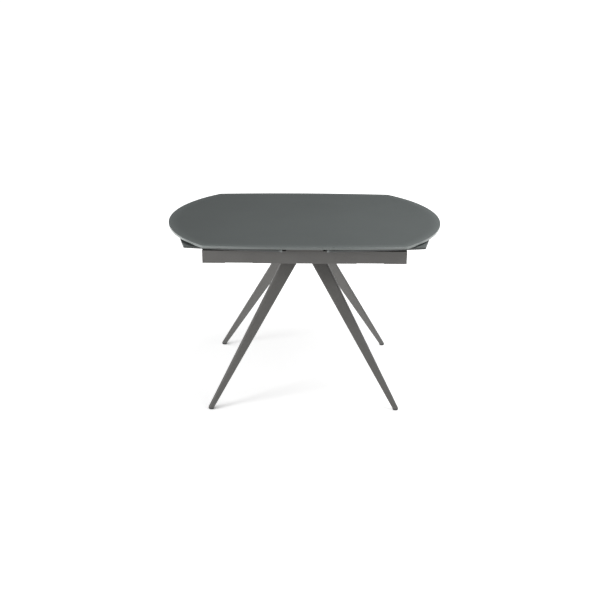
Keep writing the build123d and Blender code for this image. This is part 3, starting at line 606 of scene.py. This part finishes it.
for name, side in SIDES.items():
    low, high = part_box(f"{name}_leaf_glass")
    travel = next(j["range_m"][1] for j in frame["joints"] if j["name"] == f"{name}_leaf_slide")
    reach = max(abs(low.x), abs(high.x)) + travel
    end_centre = Vector((reach - LEAF_END_RADIUS, 0.0))
    hollow = end_radius + LEAF_JOINT_GAP
    outer = crossing(
        end_centre, LEAF_END_RADIUS - LEAF_CORNER, side_centre, SIDE_RADIUS - LEAF_CORNER, (1, 1))
    horn = crossing((0, 0), hollow + LEAF_HORN, side_centre, SIDE_RADIUS - LEAF_HORN, (1, 1))
    outer_on_end = end_centre + (outer - end_centre).normalized() * LEAF_END_RADIUS
    outer_on_side = side_centre + (outer - side_centre).normalized() * SIDE_RADIUS
    horn_on_side = side_centre + (horn - side_centre).normalized() * SIDE_RADIUS
    horn_on_hollow = horn.normalized() * hollow
    half = join(
        arc(end_centre, (reach, 0), outer_on_end, ARC_STEP * 2),
        arc(outer, outer_on_end, outer_on_side, ARC_STEP / 8),
        arc(side_centre, outer_on_side, horn_on_side, ARC_STEP * 3),
        arc(horn, horn_on_side, horn_on_hollow, ARC_STEP / 12),
        arc((0, 0), horn_on_hollow, (hollow, 0), ARC_STEP),
    )
    whole = half + [Vector((spot.x, -spot.y)) for spot in reversed(half[1:-1])]
    stored = [Vector((side * (spot.x - travel), spot.y)) for spot in whole]
    shift = Vector((-side * travel, 0.0))
    leaf_rim_light = rim_share([
        (shift + side * end_centre, LEAF_END_RADIUS, 1),
        (shift + side_centre, SIDE_RADIUS, 1),
        (shift - side_centre, SIDE_RADIUS, 1),
        (shift, hollow, -1),
    ], RIM_LIGHT_BAND)
    hollow_highlight_share = rim_share([(shift, hollow, -1)], HOLLOW_HIGHLIGHT_BAND)
    face = satin_glass(f"satin_glass_{name}_leaf", low.z, high.z, leaf_rim_light)
    # painted shade darkens the leaf's edge, and a painted highlight brightens its hollow
    edge = ground_edge(
        f"ground_edge_{name}_leaf",
        lambda tree, place: blend(tree, hollow_highlight_share(tree, place), LEAF_EDGE_TINT_AND_PAINTED_SHADE, HOLLOW_EDGE_PAINTED_HIGHLIGHT),
    )
    mesh = slab(f"{name}_leaf", stored, low.z, high.z - low.z, face, edge)
    settle(f"{name}_leaf", mesh, f"{name}_leaf", "satin_glass", f"{name}_leaf_glass")
    print(name, "leaf outline of", len(stored), "points, travel", travel)

# %% [markdown]
# ## The other finishes
#
# The slides are rolled from zinc-plated strip, which keeps faint streaks along its
# length.  Bolts, pins, springs and bond discs are zinc-plated too, and the balls are
# polished steel.  One recipe covers them: a fully metallic shader, a cloudy tone, and
# fine marks that can be stretched along the piece.

# %% Mix the metals
ZINC_CLOUDS, ZINC_MARKS = 60.0, 900.0
BRIGHTER = 1.15


def plated(name, colour, roughness, streak):
    """Zinc plate: a cloudy grey metal; streak stretches its marks along X."""
    zinc, tree, shader, place = new_finish(name, roughness, metallic=1.0)
    cloud = noise(tree, place, ZINC_CLOUDS, 3.0)
    marks = noise(tree, place, ZINC_MARKS, stretch=(streak, 1.0, 1.0))
    bright = tuple(min(1.0, BRIGHTER * c) for c in colour)
    tone = blend(tree, span(tree, cloud, 0.0, 1.0), colour, bright)
    dress(tree, shader, tone, span(tree, marks, roughness - 0.04, roughness + 0.06))
    relief(tree, shader, marks, strength=0.05, depth=0.01 * MM)
    return zinc


slide_zinc = plated("slide_zinc", (0.50, 0.51, 0.52), 0.34, 0.02)
bright_zinc = plated("bright_zinc", (0.42, 0.42, 0.43), 0.34, 1.0)
ball_steel = plated("ball_steel", (0.62, 0.62, 0.63), 0.14, 1.0)
print("made", slide_zinc.name, bright_zinc.name, ball_steel.name)

# %% [markdown]
# The glides are moulded in dark grey polyamide, which slides without marking a floor, and
# the buffers in black rubber.  Both take a fine grain from the mould.  The glides are
# also rubbed paler over the last few millimetres above the floor.

# %% Mix the plastic and the rubber
def moulded(name, colour, worn, roughness, grain_scale, scuff_height):
    """A grained dark moulding that is rubbed paler up to a height above the floor."""
    mould, tree, shader, place = new_finish(name, roughness)
    grain = noise(tree, place, grain_scale)
    low = span(tree, axis(tree, place, "Z"), 1.0, 0.0, 0.0, scuff_height)
    rubbed = maths(tree, "MULTIPLY", low, grain)
    gloss = span(tree, grain, roughness - 0.07, roughness + 0.09)
    dress(tree, shader, blend(tree, rubbed, colour, worn), gloss)
    relief(tree, shader, grain, strength=0.3, depth=0.08 * MM)
    return mould


glide_grey = moulded("dark_polyamide", (0.034,) * 3, (0.07,) * 3, 0.46, 2400.0, 4.0 * MM)
rubber_black = moulded("black_rubber", (0.020,) * 3, (0.05,) * 3, 0.74, 1500.0, 1.0 * MM)
print("made", glide_grey.name, rubber_black.name)

# %% [markdown]
# ## The legs and their glides
#
# A leg is folded from sheet, so its four long edges are generous rounds that catch a thin
# line of light.  It tapers from a wide head under the flange to a slim foot.  A loft
# between two rounded rectangles says this exactly.  The glide under it is a moulded plug
# of the same outline with a domed sole, and the same helper stacks its rings.

# %% Loft the legs and the glides
HEAD_OUT = 25.0 * MM
HEAD_SECTION = (74.0 * MM, 42.0 * MM, 9.0 * MM)
FOOT_SECTION = (25.0 * MM, 24.0 * MM, 7.5 * MM)
SOLE_ROUND = 8.0 * MM
ROUND_STEPS = 6


def rounded(centre, section, level):
    """A level rounded rectangle, anticlockwise."""
    width, depth, radius = section
    ring = []
    for quarter, (a, b) in enumerate(((1, 1), (-1, 1), (-1, -1), (1, -1))):
        middle = (centre[0] + a * (width / 2 - radius), centre[1] + b * (depth / 2 - radius))
        for step in range(ROUND_STEPS + 1):
            turn = math.pi / 2 * (quarter + step / ROUND_STEPS)
            ring.append((middle[0] + radius * math.cos(turn), middle[1] + radius * math.sin(turn), level))
    return ring


def loft(build, rings):
    """A closed skin through rings of the same number of points, from the lowest up."""
    stack = [[build.verts.new(spot) for spot in ring] for ring in rings]
    for lower, upper in zip(stack, stack[1:]):
        for i, vertex in enumerate(lower):
            build.faces.new((lower[i - 1], vertex, upper[i], upper[i - 1]))
    build.faces.new(list(reversed(stack[0])))
    build.faces.new(stack[-1])


def lofted(name, stacks, finish, mitred=0):
    """A mesh of lofts; mitred cuts it at the middle of the table and keeps that side."""
    build = bmesh.new()
    for rings in stacks:
        loft(build, rings)
    if mitred:
        every = build.verts[:] + build.edges[:] + build.faces[:]
        cut = bmesh.ops.bisect_plane(
            build, geom=every, plane_co=(0, 0, 0), plane_no=(-mitred, 0, 0), clear_outer=True)
        rim = [item for item in cut["geom_cut"] if isinstance(item, bmesh.types.BMEdge)]
        bmesh.ops.edgeloop_fill(build, edges=rim)
    bmesh.ops.recalc_face_normals(build, faces=build.faces)
    mesh = bpy.data.meshes.new(name)
    build.to_mesh(mesh)
    build.free()
    mesh.materials.append(finish)
    return mesh


soles = []
for end_name, end in ENDS.items():
    for side_name, side in SIDES.items():
        label = f"{end_name}_{side_name}_leg"
        low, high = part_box(label)
        far, deep = (high.x if side > 0 else low.x), (high.y if end > 0 else low.y)
        shallow = low.y if end > 0 else high.y
        foot = (far - side * FOOT_SECTION[0] / 2, deep - end * FOOT_SECTION[1] / 2)
        head = (side * HEAD_OUT, shallow + end * HEAD_SECTION[1] / 2)
        rings = [rounded(foot, FOOT_SECTION, low.z), rounded(head, HEAD_SECTION, high.z)]
        mesh = lofted(f"tapered_{label}", [rings], steel_grey, mitred=side)
        settle(f"tapered_{label}", mesh, "base", "grey_powder_coat", label)
        dome = []
        for step in range(ROUND_STEPS + 1):
            turn = math.pi / 2 * step / ROUND_STEPS
            inset = SOLE_ROUND * (1 - math.sin(turn))
            width, depth, radius = FOOT_SECTION
            slim = (width - 2 * inset, depth - 2 * inset, max(radius - inset / 2, 1.0 * MM))
            dome.append(rounded(foot, slim, SOLE_ROUND * (1 - math.cos(turn))))
        soles.append(dome + [rounded(foot, FOOT_SECTION, low.z)])
mesh = lofted("moulded_glides", soles, glide_grey)
settle("moulded_glides", mesh, "base", "glide_plastic", "foot_glides")
print("legs lofted, foot at", [round(v, 3) for v in foot])

# %% [markdown]
# ## Growing what repeats
#
# Balls, springs, bolts and welds repeat many times, so each gets one Geometry Nodes tree
# with named inputs.  A host mesh only says where they go: its points are the spots, an
# attribute tells which way each spot faces, and its edges are the runs of a weld.  The
# tree ends by merging the slivers that a boolean can leave, making the instances real and
# giving them their finish.  Blender evaluates the host once, and the result is kept as a
# plain mesh, because an export knows neither modifiers nor instances.

# %% Write the growing helpers
MERGE_DISTANCE = 0.02 * MM


def geo(tree, kind, inputs=(), **properties):
    """Add a geometry node by its short name and return what it makes."""
    return add(tree, f"GeometryNode{kind}", inputs, **properties).outputs[0]


def new_tree(name, *lengths, **inputs):
    """A tree with a host, named inputs and a finish; returns the input sockets too."""
    tree = bpy.data.node_groups.new(name, "GeometryNodeTree")
    kinds = {"Host": "Geometry", **dict.fromkeys(lengths, "Float"), **inputs, "Finish": "Material"}
    for label, kind in kinds.items():
        tree.interface.new_socket(label, in_out="INPUT", socket_type=f"NodeSocket{kind}")
    tree.interface.new_socket("Grown", in_out="OUTPUT", socket_type="NodeSocketGeometry")
    return tree, tree.nodes.new("NodeGroupInput").outputs


def close_tree(tree, given, geometry):
    """Merge slivers, make the instances real and give them their finish."""
    clean = geo(tree, "MergeByDistance", {"Geometry": geometry, "Distance": MERGE_DISTANCE})
    real = geo(tree, "RealizeInstances", {0: clean})
    coated = geo(tree, "SetMaterial", {"Geometry": real, "Material": given["Finish"]})
    tree.links.new(coated, tree.nodes.new("NodeGroupOutput").inputs[0])


def place_at_spots(tree, given, shape, seed=0):
    """Put the shape on each host point, its Z along the facing, turned by a seeded draw."""
    facing = geo(tree, "InputNamedAttribute", {"Name": "facing"}, data_type="FLOAT_VECTOR")
    aim = add(tree, "FunctionNodeAlignRotationToVector", {"Vector": facing}, axis="Z")
    limits_and_seed = {2: 0.0, 3: math.tau, 8: seed}
    turn = add(tree, "FunctionNodeRandomValue", limits_and_seed, data_type="FLOAT")
    spin = add(tree, "FunctionNodeEulerToRotation", {0: point(tree, z=turn.outputs[1])})
    both = add(tree, "FunctionNodeRotateRotation", {0: aim.outputs[0], 1: spin.outputs[0]})
    both.rotation_space = "LOCAL"
    inputs = {"Points": given["Host"], "Instance": shape, "Rotation": both.outputs[0]}
    return geo(tree, "InstanceOnPoints", inputs)


def grow(name, tree, spots, sizes, finish, body, slot, *replaced, runs=(), smooth=SMOOTH_ANGLE):
    """Grow a tree on spots, each a place and a facing, into a piece of the table."""
    base = bpy.data.meshes.new(name + "_host")
    base.from_pydata([place for place, _ in spots], runs, [])
    base.attributes.new("facing", "FLOAT_VECTOR", "POINT")
    base.attributes["facing"].data.foreach_set("vector", [v for _, facing in spots for v in facing])
    host = put(name + "_host", base)
    modifier = host.modifiers.new("grow", "NODES")
    modifier.node_group = tree
    sockets = {item.name: item.identifier for item in tree.interface.items_tree}
    for label, value in {**sizes, "Finish": finish}.items():
        modifier[sockets[label]] = value
    graph = bpy.context.evaluated_depsgraph_get()
    mesh = bpy.data.meshes.new_from_object(host.evaluated_get(graph), depsgraph=graph)
    mesh.name = name
    host.modifiers.remove(modifier)
    bpy.data.objects.remove(host)
    print(name, len(mesh.polygons), "faces")
    return settle(name, mesh, body, slot, *replaced, smooth=smooth)


print("growing helpers ready, merging below", MERGE_DISTANCE / MM, "mm")

# %% [markdown]
# Four more helpers shape what a tree grows: a rod, a shift along its axis, a joint of
# loose shapes, and a boolean.  The boolean uses the exact solver, because these pieces
# are tiny and share many level faces.

# %% Write the shape helpers
def rod(tree, sides, radius, depth):
    """An upright prism or cylinder, centred."""
    return geo(tree, "MeshCylinder", {"Vertices": sides, "Radius": radius, "Depth": depth})


def shifted(tree, shape, z, turn=(0.0, 0.0, 0.0)):
    """A shape turned and then shifted along Z."""
    return geo(tree, "Transform", {"Geometry": shape, "Translation": point(tree, z=z), "Rotation": turn})


def joined(tree, *shapes):
    """Several shapes as one."""
    node = add(tree, "GeometryNodeJoinGeometry")
    for shape in shapes:
        tree.links.new(shape, node.inputs[0])
    return node.outputs[0]


def carved(tree, operation, first, second):
    """What two shapes share, or the first without the second."""
    node = add(tree, "GeometryNodeMeshBoolean", operation=operation, solver="EXACT")
    tree.links.new(first, node.inputs[0 if operation == "DIFFERENCE" else 1])
    tree.links.new(second, node.inputs[1])
    return node.outputs[0]


print("shape helpers ready")

# %% [markdown]
# ## The bearing balls
#
# Each slide runs on four rows of balls: two between the outer and the middle member, and
# two between the middle and the inner one.  The pressed cages only keep the balls apart,
# so a row is a line of points along the cage with a ball on each.  The balls are small
# and mostly hidden, so a few dozen smooth faces are enough.

# %% Fill the cages with balls
BALL_RADIUS = 2.4 * MM
BALL_PITCH = 8.0 * MM
CAGE_WALL = 0.8 * MM
WEB_INSET = {"outer": 4.0 * MM, "inner": 2.0 * MM}

tree, given = new_tree("ball_rows", "Pitch", "Radius", Count="Int")
step = {"Count": given["Count"], "Offset": point(tree, x=given["Pitch"])}
line = geo(tree, "MeshLine", step, mode="OFFSET")
rows = geo(tree, "InstanceOnPoints", {"Points": given["Host"], "Instance": line})
spread = geo(tree, "RealizeInstances", {0: rows})
ball = geo(tree, "MeshUVSphere", {"Segments": 8, "Rings": 6, "Radius": given["Radius"]})
balls = geo(tree, "InstanceOnPoints", {"Points": spread, "Instance": ball})
close_tree(tree, given, balls)

for name in SIDES:
    for stage, inset in WEB_INSET.items():
        body = f"{name}_{stage}_cages"
        low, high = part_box(body)
        count = math.floor((high.x - low.x) / BALL_PITCH)
        start = (low.x + high.x - (count - 1) * BALL_PITCH) / 2
        levels = (low.z + CAGE_WALL / 2, high.z - CAGE_WALL / 2)
        spots = [
            ((start, end * (high.y - inset), z), (1, 0, 0)) for end in ENDS.values() for z in levels]
        sizes = {"Count": count, "Pitch": BALL_PITCH, "Radius": BALL_RADIUS}
        grow(f"{body}_balls", tree, spots, sizes, ball_steel, body, "slide_steel", smooth=math.pi)

# %% [markdown]
# ## The lifting springs
#
# Two extension springs pull each leaf frame towards its carriage, which makes the links
# stand up once the leaf is out.  At each end of the coils the wire runs in to the axis
# and on to what it pulls.  A spiral, a bent neck and a straight piece share one round
# section, so together they read as one wire.

# %% Wind the springs
SPRING_RADIUS = 6.0 * MM
SPRING_WIRE = 1.6 * MM
SPRING_HOOK = 7.0 * MM
SPRING_TURNS = 24.0
NECK_SHARE = 0.45

tree, given = new_tree("wound_springs", "Radius", "Wire", "Length", "Hook", "Turns")
half_wire = maths(tree, "DIVIDE", given["Wire"], 2.0)
radius = maths(tree, "SUBTRACT", given["Radius"], half_wire)
coil = geo(tree, "CurveSpiral", {
    "Resolution": 14, "Rotations": given["Turns"], "Start Radius": radius, "End Radius": radius,
    "Height": given["Length"]})
neck_end = point(tree, z=maths(tree, "MULTIPLY", given["Hook"], -NECK_SHARE))
neck = geo(tree, "CurveQuadraticBezier", {
    "Resolution": 8, "Start": point(tree, x=radius), "Middle": (0.0, 0.0, 0.0), "End": neck_end})
hook_end = point(tree, z=maths(tree, "MULTIPLY", given["Hook"], -1.0))
straight = geo(tree, "CurvePrimitiveLine", {"Start": neck_end, "End": hook_end})
near_end = joined(tree, neck, straight)
far_end = shifted(tree, near_end, given["Length"], turn=(math.pi, 0.0, 0.0))
wire = joined(tree, coil, near_end, far_end)
section = geo(tree, "CurvePrimitiveCircle", {"Resolution": 8, "Radius": half_wire})
tube = geo(tree, "CurveToMesh", {"Fill Caps": True, "Curve": wire, "Profile Curve": section})
close_tree(tree, given, place_at_spots(tree, given, tube, seed=3))

for name, side in SIDES.items():
    label = f"{name}_lift_springs"
    low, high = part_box(label)
    near = side * (min(abs(low.x), abs(high.x)) + SPRING_HOOK)
    row, level = high.y - SPRING_RADIUS, (low.z + high.z) / 2
    spots = [((near, end * row, level), (side, 0, 0)) for end in ENDS.values()]
    sizes = {
        "Radius": SPRING_RADIUS, "Wire": SPRING_WIRE, "Hook": SPRING_HOOK, "Turns": SPRING_TURNS,
        "Length": high.x - low.x - 2 * SPRING_HOOK,
    }
    grow(
        f"{name}_wound_springs", tree, spots, sizes, bright_zinc, f"{name}_leaf", "plated_steel",
        label, smooth=math.pi)

# %% [markdown]
# ## The hexagon bolts
#
# Eight bolts hold the base plate to the cross tubes, and eight more hold the leg flanges
# to the plate.  A forged head is a hexagon whose corners are turned off by a cone, which
# leaves six small arcs, and it stands on a thin round washer face.  The tree keeps what a
# six-sided prism and a wide cone share.  The cone stands a little past the prism, because
# a boolean goes wrong where two faces coincide.  Each head gets a random turn, since
# nobody lines them up.

# %% Forge the hexagon bolts
BOLT_FLATS = 13.0 * MM
BOLT_HEAD = 5.5 * MM
BOLT_SHANK = 8.0 * MM
WASHER_FACE = 0.5 * MM
FACE_SHARE = 0.48
CHAMFER_SLOPE = math.tan(math.radians(30))
CONE_SPARE = 1.0 * MM
ROUND_SIDES, SHANK_SIDES = 36, 20
CRISP_ANGLE = math.radians(20)

tree, given = new_tree("hexagon_bolts", "Flats", "Head", "Shank", "Reach")
corner_radius = maths(tree, "DIVIDE", given["Flats"], math.sqrt(3))
face_radius = maths(tree, "MULTIPLY", given["Flats"], FACE_SHARE)
head_middle = maths(tree, "DIVIDE", maths(tree, "ADD", given["Head"], WASHER_FACE), 2.0)
prism = rod(tree, 6, corner_radius, maths(tree, "SUBTRACT", given["Head"], WASHER_FACE))
cone_reach = maths(tree, "DIVIDE", maths(tree, "ADD", given["Head"], CONE_SPARE), CHAMFER_SLOPE)
cone = geo(tree, "MeshCone", {
    "Vertices": ROUND_SIDES,
    "Radius Top": maths(tree, "SUBTRACT", face_radius, CONE_SPARE / CHAMFER_SLOPE),
    "Radius Bottom": maths(tree, "ADD", face_radius, cone_reach),
    "Depth": maths(tree, "ADD", given["Head"], 2 * CONE_SPARE),
})
head = carved(tree, "INTERSECT", shifted(tree, prism, head_middle), shifted(tree, cone, -CONE_SPARE))
washer = rod(tree, ROUND_SIDES, face_radius, 2 * WASHER_FACE)
shank = rod(tree, SHANK_SIDES, maths(tree, "DIVIDE", given["Shank"], 2.0), given["Reach"])
sunk = shifted(tree, shank, maths(tree, "DIVIDE", given["Reach"], -2.0))
close_tree(tree, given, place_at_spots(tree, given, joined(tree, head, sunk, washer), seed=11))

HUB_BOLT_ROWS = (30.0 * MM, 148.0 * MM)
FLANGE_BOLT_EDGE = 12.0 * MM
cross_low, cross_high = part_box("right_cross_tube")
cross_x = (cross_low.x + cross_high.x) / 2
flange_low, flange_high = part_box("rear_leg_flange")
flange_rows = (flange_low.y + FLANGE_BOLT_EDGE, flange_high.y - FLANGE_BOLT_EDGE)
patterns = {
    "hub_bolts": (cross_x, HUB_BOLT_ROWS),
    "leg_bolts": (flange_high.x - FLANGE_BOLT_EDGE, flange_rows),
}
for label, (x, rows) in patterns.items():
    low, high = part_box(label)
    seat = low.z + BOLT_HEAD
    spots = [((a * x, b * row, seat), (0, 0, -1)) for a in (-1, 1) for b in (-1, 1) for row in rows]
    sizes = {"Flats": BOLT_FLATS, "Head": BOLT_HEAD, "Shank": BOLT_SHANK, "Reach": high.z - seat}
    grow(
        f"forged_{label}", tree, spots, sizes, bright_zinc, "base", "plated_steel", label,
        smooth=CRISP_ANGLE)

# %% [markdown]
# ## The socket screws
#
# The bearers under the top and the carriages on the slides are held by domed screws with
# a hexagon socket.  A dome is the cap of a ball, so the tree keeps what a ball and a
# cylinder share, and then takes the socket out with a six-sided prism.

# %% Turn the socket screws
SOCKET_SHARE = 0.5
DRUM_SHARE = 1.1

tree, given = new_tree("socket_screws", "Radius", "Head", "Dome", "Socket", "Shank", "Reach")
ball = geo(tree, "MeshUVSphere", {"Segments": 32, "Rings": 24, "Radius": given["Dome"]})
lowered = shifted(tree, ball, maths(tree, "SUBTRACT", given["Head"], given["Dome"]))
drum = rod(tree, 32, given["Radius"], maths(tree, "MULTIPLY", given["Head"], 2 * DRUM_SHARE))
lifted = shifted(tree, drum, maths(tree, "MULTIPLY", given["Head"], DRUM_SHARE))
dome = carved(tree, "INTERSECT", lowered, lifted)
key = shifted(tree, rod(tree, 6, given["Socket"], given["Head"]), given["Head"])
head = carved(tree, "DIFFERENCE", dome, key)
shank = rod(tree, SHANK_SIDES, given["Shank"], given["Reach"])
sunk = shifted(tree, shank, maths(tree, "DIVIDE", given["Reach"], -2.0))
close_tree(tree, given, place_at_spots(tree, given, joined(tree, head, sunk), seed=29))


def screw_sizes(radius, head, shank, reach):
    """Sizes of a screw; its dome passes through the rim and the crown of the head."""
    return {
        "Radius": radius, "Head": head, "Dome": (radius ** 2 + head ** 2) / (2 * head),
        "Socket": SOCKET_SHARE * radius, "Shank": shank, "Reach": reach,
    }


BUTTON_RADIUS, BUTTON_HEAD = 7.0 * MM, 2.5 * MM
low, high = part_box("bearer_bolts")
row, seat = high.y - BUTTON_RADIUS, high.z - BUTTON_HEAD
spots = [((a * cross_x, b * row, seat), (0, 0, 1)) for a in (-1, 1) for b in (-1, 1)]
sizes = screw_sizes(BUTTON_RADIUS, BUTTON_HEAD, BOLT_SHANK / 2, seat - low.z)
grow("turned_bearer_bolts", tree, spots, sizes, bright_zinc, "base", "plated_steel", "bearer_bolts")

SCREW_RADIUS, SCREW_HEAD, SCREW_SHANK, SCREW_REACH = 4.5 * MM, 2.2 * MM, 2.4 * MM, 4.5 * MM
sizes = screw_sizes(SCREW_RADIUS, SCREW_HEAD, SCREW_SHANK, SCREW_REACH)
for name in SIDES:
    label = f"{name}_carriage_screws"
    low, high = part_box(label)
    near, far = low.x + SCREW_RADIUS, high.x - SCREW_RADIUS
    seat, level = high.y - SCREW_REACH, (low.z + high.z) / 2
    spots = [
        ((x, end * seat, level), (0, -end, 0))
        for x in (near, (near + far) / 2, far) for end in ENDS.values()]
    grow(f"turned_{label}", tree, spots, sizes, bright_zinc, f"{name}_leaf", "plated_steel", label)

# %% [markdown]
# ## The welds
#
# The legs are welded to their flanges, the cross tubes to the beams, and the tubes of
# each leaf frame to its rails and carriages.  A weld bead is a small round fillet with a
# ripple for each drop of metal.  Every run is an edge chain of the host: the tree makes a
# curve of it, samples it a few times per ripple, and sweeps a circle whose scale swells
# and wanders along it.  The half that lies inside the steel is never seen.

# %% Lay the weld beads
BEAD_RADIUS = 1.8 * MM
RIPPLE = 1.8 * MM
RIPPLE_SAMPLES = 4.0
SWELL, WANDER = 0.06, 0.35
BEAD_ANGLE = math.radians(60)

beads, given = new_tree("weld_beads", "Radius", "Ripple", "Swell", "Wander")
runs = geo(beads, "MeshToCurve", {0: given["Host"]})
sample = {"Curve": runs, "Length": maths(beads, "DIVIDE", given["Ripple"], RIPPLE_SAMPLES)}
fine = geo(beads, "ResampleCurve", sample, mode="LENGTH")
along = add(beads, "GeometryNodeSplineParameter").outputs["Length"]
phase = maths(beads, "MULTIPLY", maths(beads, "DIVIDE", along, given["Ripple"]), math.tau)
wave = maths(beads, "MULTIPLY", maths(beads, "SINE", phase), given["Swell"])
drift = add(beads, "ShaderNodeTexNoise", {"Scale": 90.0, "Detail": 1.0}, noise_dimensions="3D")
loose = maths(beads, "MULTIPLY", maths(beads, "SUBTRACT", drift.outputs["Fac"], 0.5), given["Wander"])
width = maths(beads, "ADD", maths(beads, "ADD", wave, loose), 1.0)
section = geo(beads, "CurvePrimitiveCircle", {"Resolution": 8, "Radius": given["Radius"]})
bead = geo(beads, "CurveToMesh", {
    "Fill Caps": True, "Curve": fine, "Profile Curve": section, "Scale": width})
close_tree(beads, given, bead)


def lay_beads(name, chains, body):
    """Weld along chains of places; a closed chain is marked True."""
    spots, edges = [], []
    for places, closed in chains:
        first = len(spots)
        spots += [(place, (0, 0, 1)) for place in places]
        edges += [(i, i + 1) for i in range(first, len(spots) - 1)]
        if closed:
            edges.append((len(spots) - 1, first))
    sizes = {"Radius": BEAD_RADIUS, "Ripple": RIPPLE, "Swell": SWELL, "Wander": WANDER}
    grow(name, beads, spots, sizes, steel_grey, body, "grey_powder_coat", runs=edges, smooth=BEAD_ANGLE)


print("weld tree ready, a ripple every", round(RIPPLE / MM, 1), "mm")

# %% [markdown]
# On the base, each cross tube has an upright bead on both sides where it meets a beam.
# The heads of a left and a right leg touch, so one bead runs round the pair of them.

# %% Weld the base
TUBE_END_INSET = 3.0 * MM

bottom, top = cross_low.z + TUBE_END_INSET, cross_high.z - TUBE_END_INSET
tube_ends = [
    ([(side * x, end * cross_high.y, z) for z in (bottom, top)], False)
    for side in SIDES.values() for end in ENDS.values() for x in (cross_low.x, cross_high.x)]
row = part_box("rear_right_leg")[0].y + HEAD_SECTION[1] / 2
both_heads = (2 * HEAD_OUT + HEAD_SECTION[0], *HEAD_SECTION[1:])
leg_heads = [(rounded((0.0, end * row), both_heads, flange_low.z), True) for end in ENDS.values()]
lay_beads("base_welds", tube_ends + leg_heads, "base")

# %% [markdown]
# On a leaf frame, a closed bead runs round each end of the carriage tie.  The bars of the
# frame lie in the rails, so their beads are open: across the top, down one side, along
# the floor of the rail and up again.

# %% Weld the leaf frames
BAR_HEIGHT = 16.0 * MM

for name in SIDES:
    chains = []
    low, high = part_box(f"{name}_carriage_tie")
    corners = [(low.x, low.z), (high.x, low.z), (high.x, high.z), (low.x, high.z)]
    for end in ENDS.values():
        chains.append(([(x, end * high.y, z) for x, z in corners], True))
    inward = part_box(f"rear_{name}_leaf_rail")[0].y
    for kind in ("inner", "outer"):
        low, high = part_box(f"{name}_{kind}_leaf_bar")
        upper, lower = high.z, high.z - BAR_HEIGHT
        path = [
            (low.x, inward, upper), (low.x, high.y, upper), (low.x, high.y, lower),
            (high.x, high.y, lower), (high.x, high.y, upper), (high.x, inward, upper)]
        for end in ENDS.values():
            chains.append(([(x, end * y, z) for x, y, z in path], False))
    lay_beads(f"{name}_frame_welds", chains, f"{name}_leaf")

# %% [markdown]
# ## Coating the CAD pieces
#
# The pieces that nothing has replaced still wear the plain grey of the CAD.  The record
# gives each one a slot that says what it is made of.  A table from slot to finish coats
# them all, and stops with an error if a slot was forgotten.

# %% Coat every CAD piece
FINISH_OF_SLOT = {
    "grey_powder_coat": steel_grey,
    "slide_steel": slide_zinc,
    "plated_steel": bright_zinc,
    "glide_plastic": glide_grey,
    "buffer_rubber": rubber_black,
    "satin_glass": top_finish,
}
slot_of_node = {row["node"]: row["material_slot"] for row in frame["record"]["subparts"]}
for label, piece in nodes.items():
    for holder in piece.material_slots:
        holder.material = FINISH_OF_SLOT[slot_of_node[label]]
print("coated", len(nodes), "pieces in", len(set(slot_of_node.values())), "finishes")

# %% [markdown]
# ## Finishing
#
# The finer shapes must stay inside the CAD pieces, or the table would lose its real size.
# The cell below measures the size of the CAD and of what is shown, and prints the latter.

# %% Finish
sizes = {"cad": [list(corner) for corner in cad_box], "visual": [list(corner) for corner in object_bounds()]}
print("visual size", [round(v, 4) for v in Vector(sizes["visual"][1]) - Vector(sizes["visual"][0])])
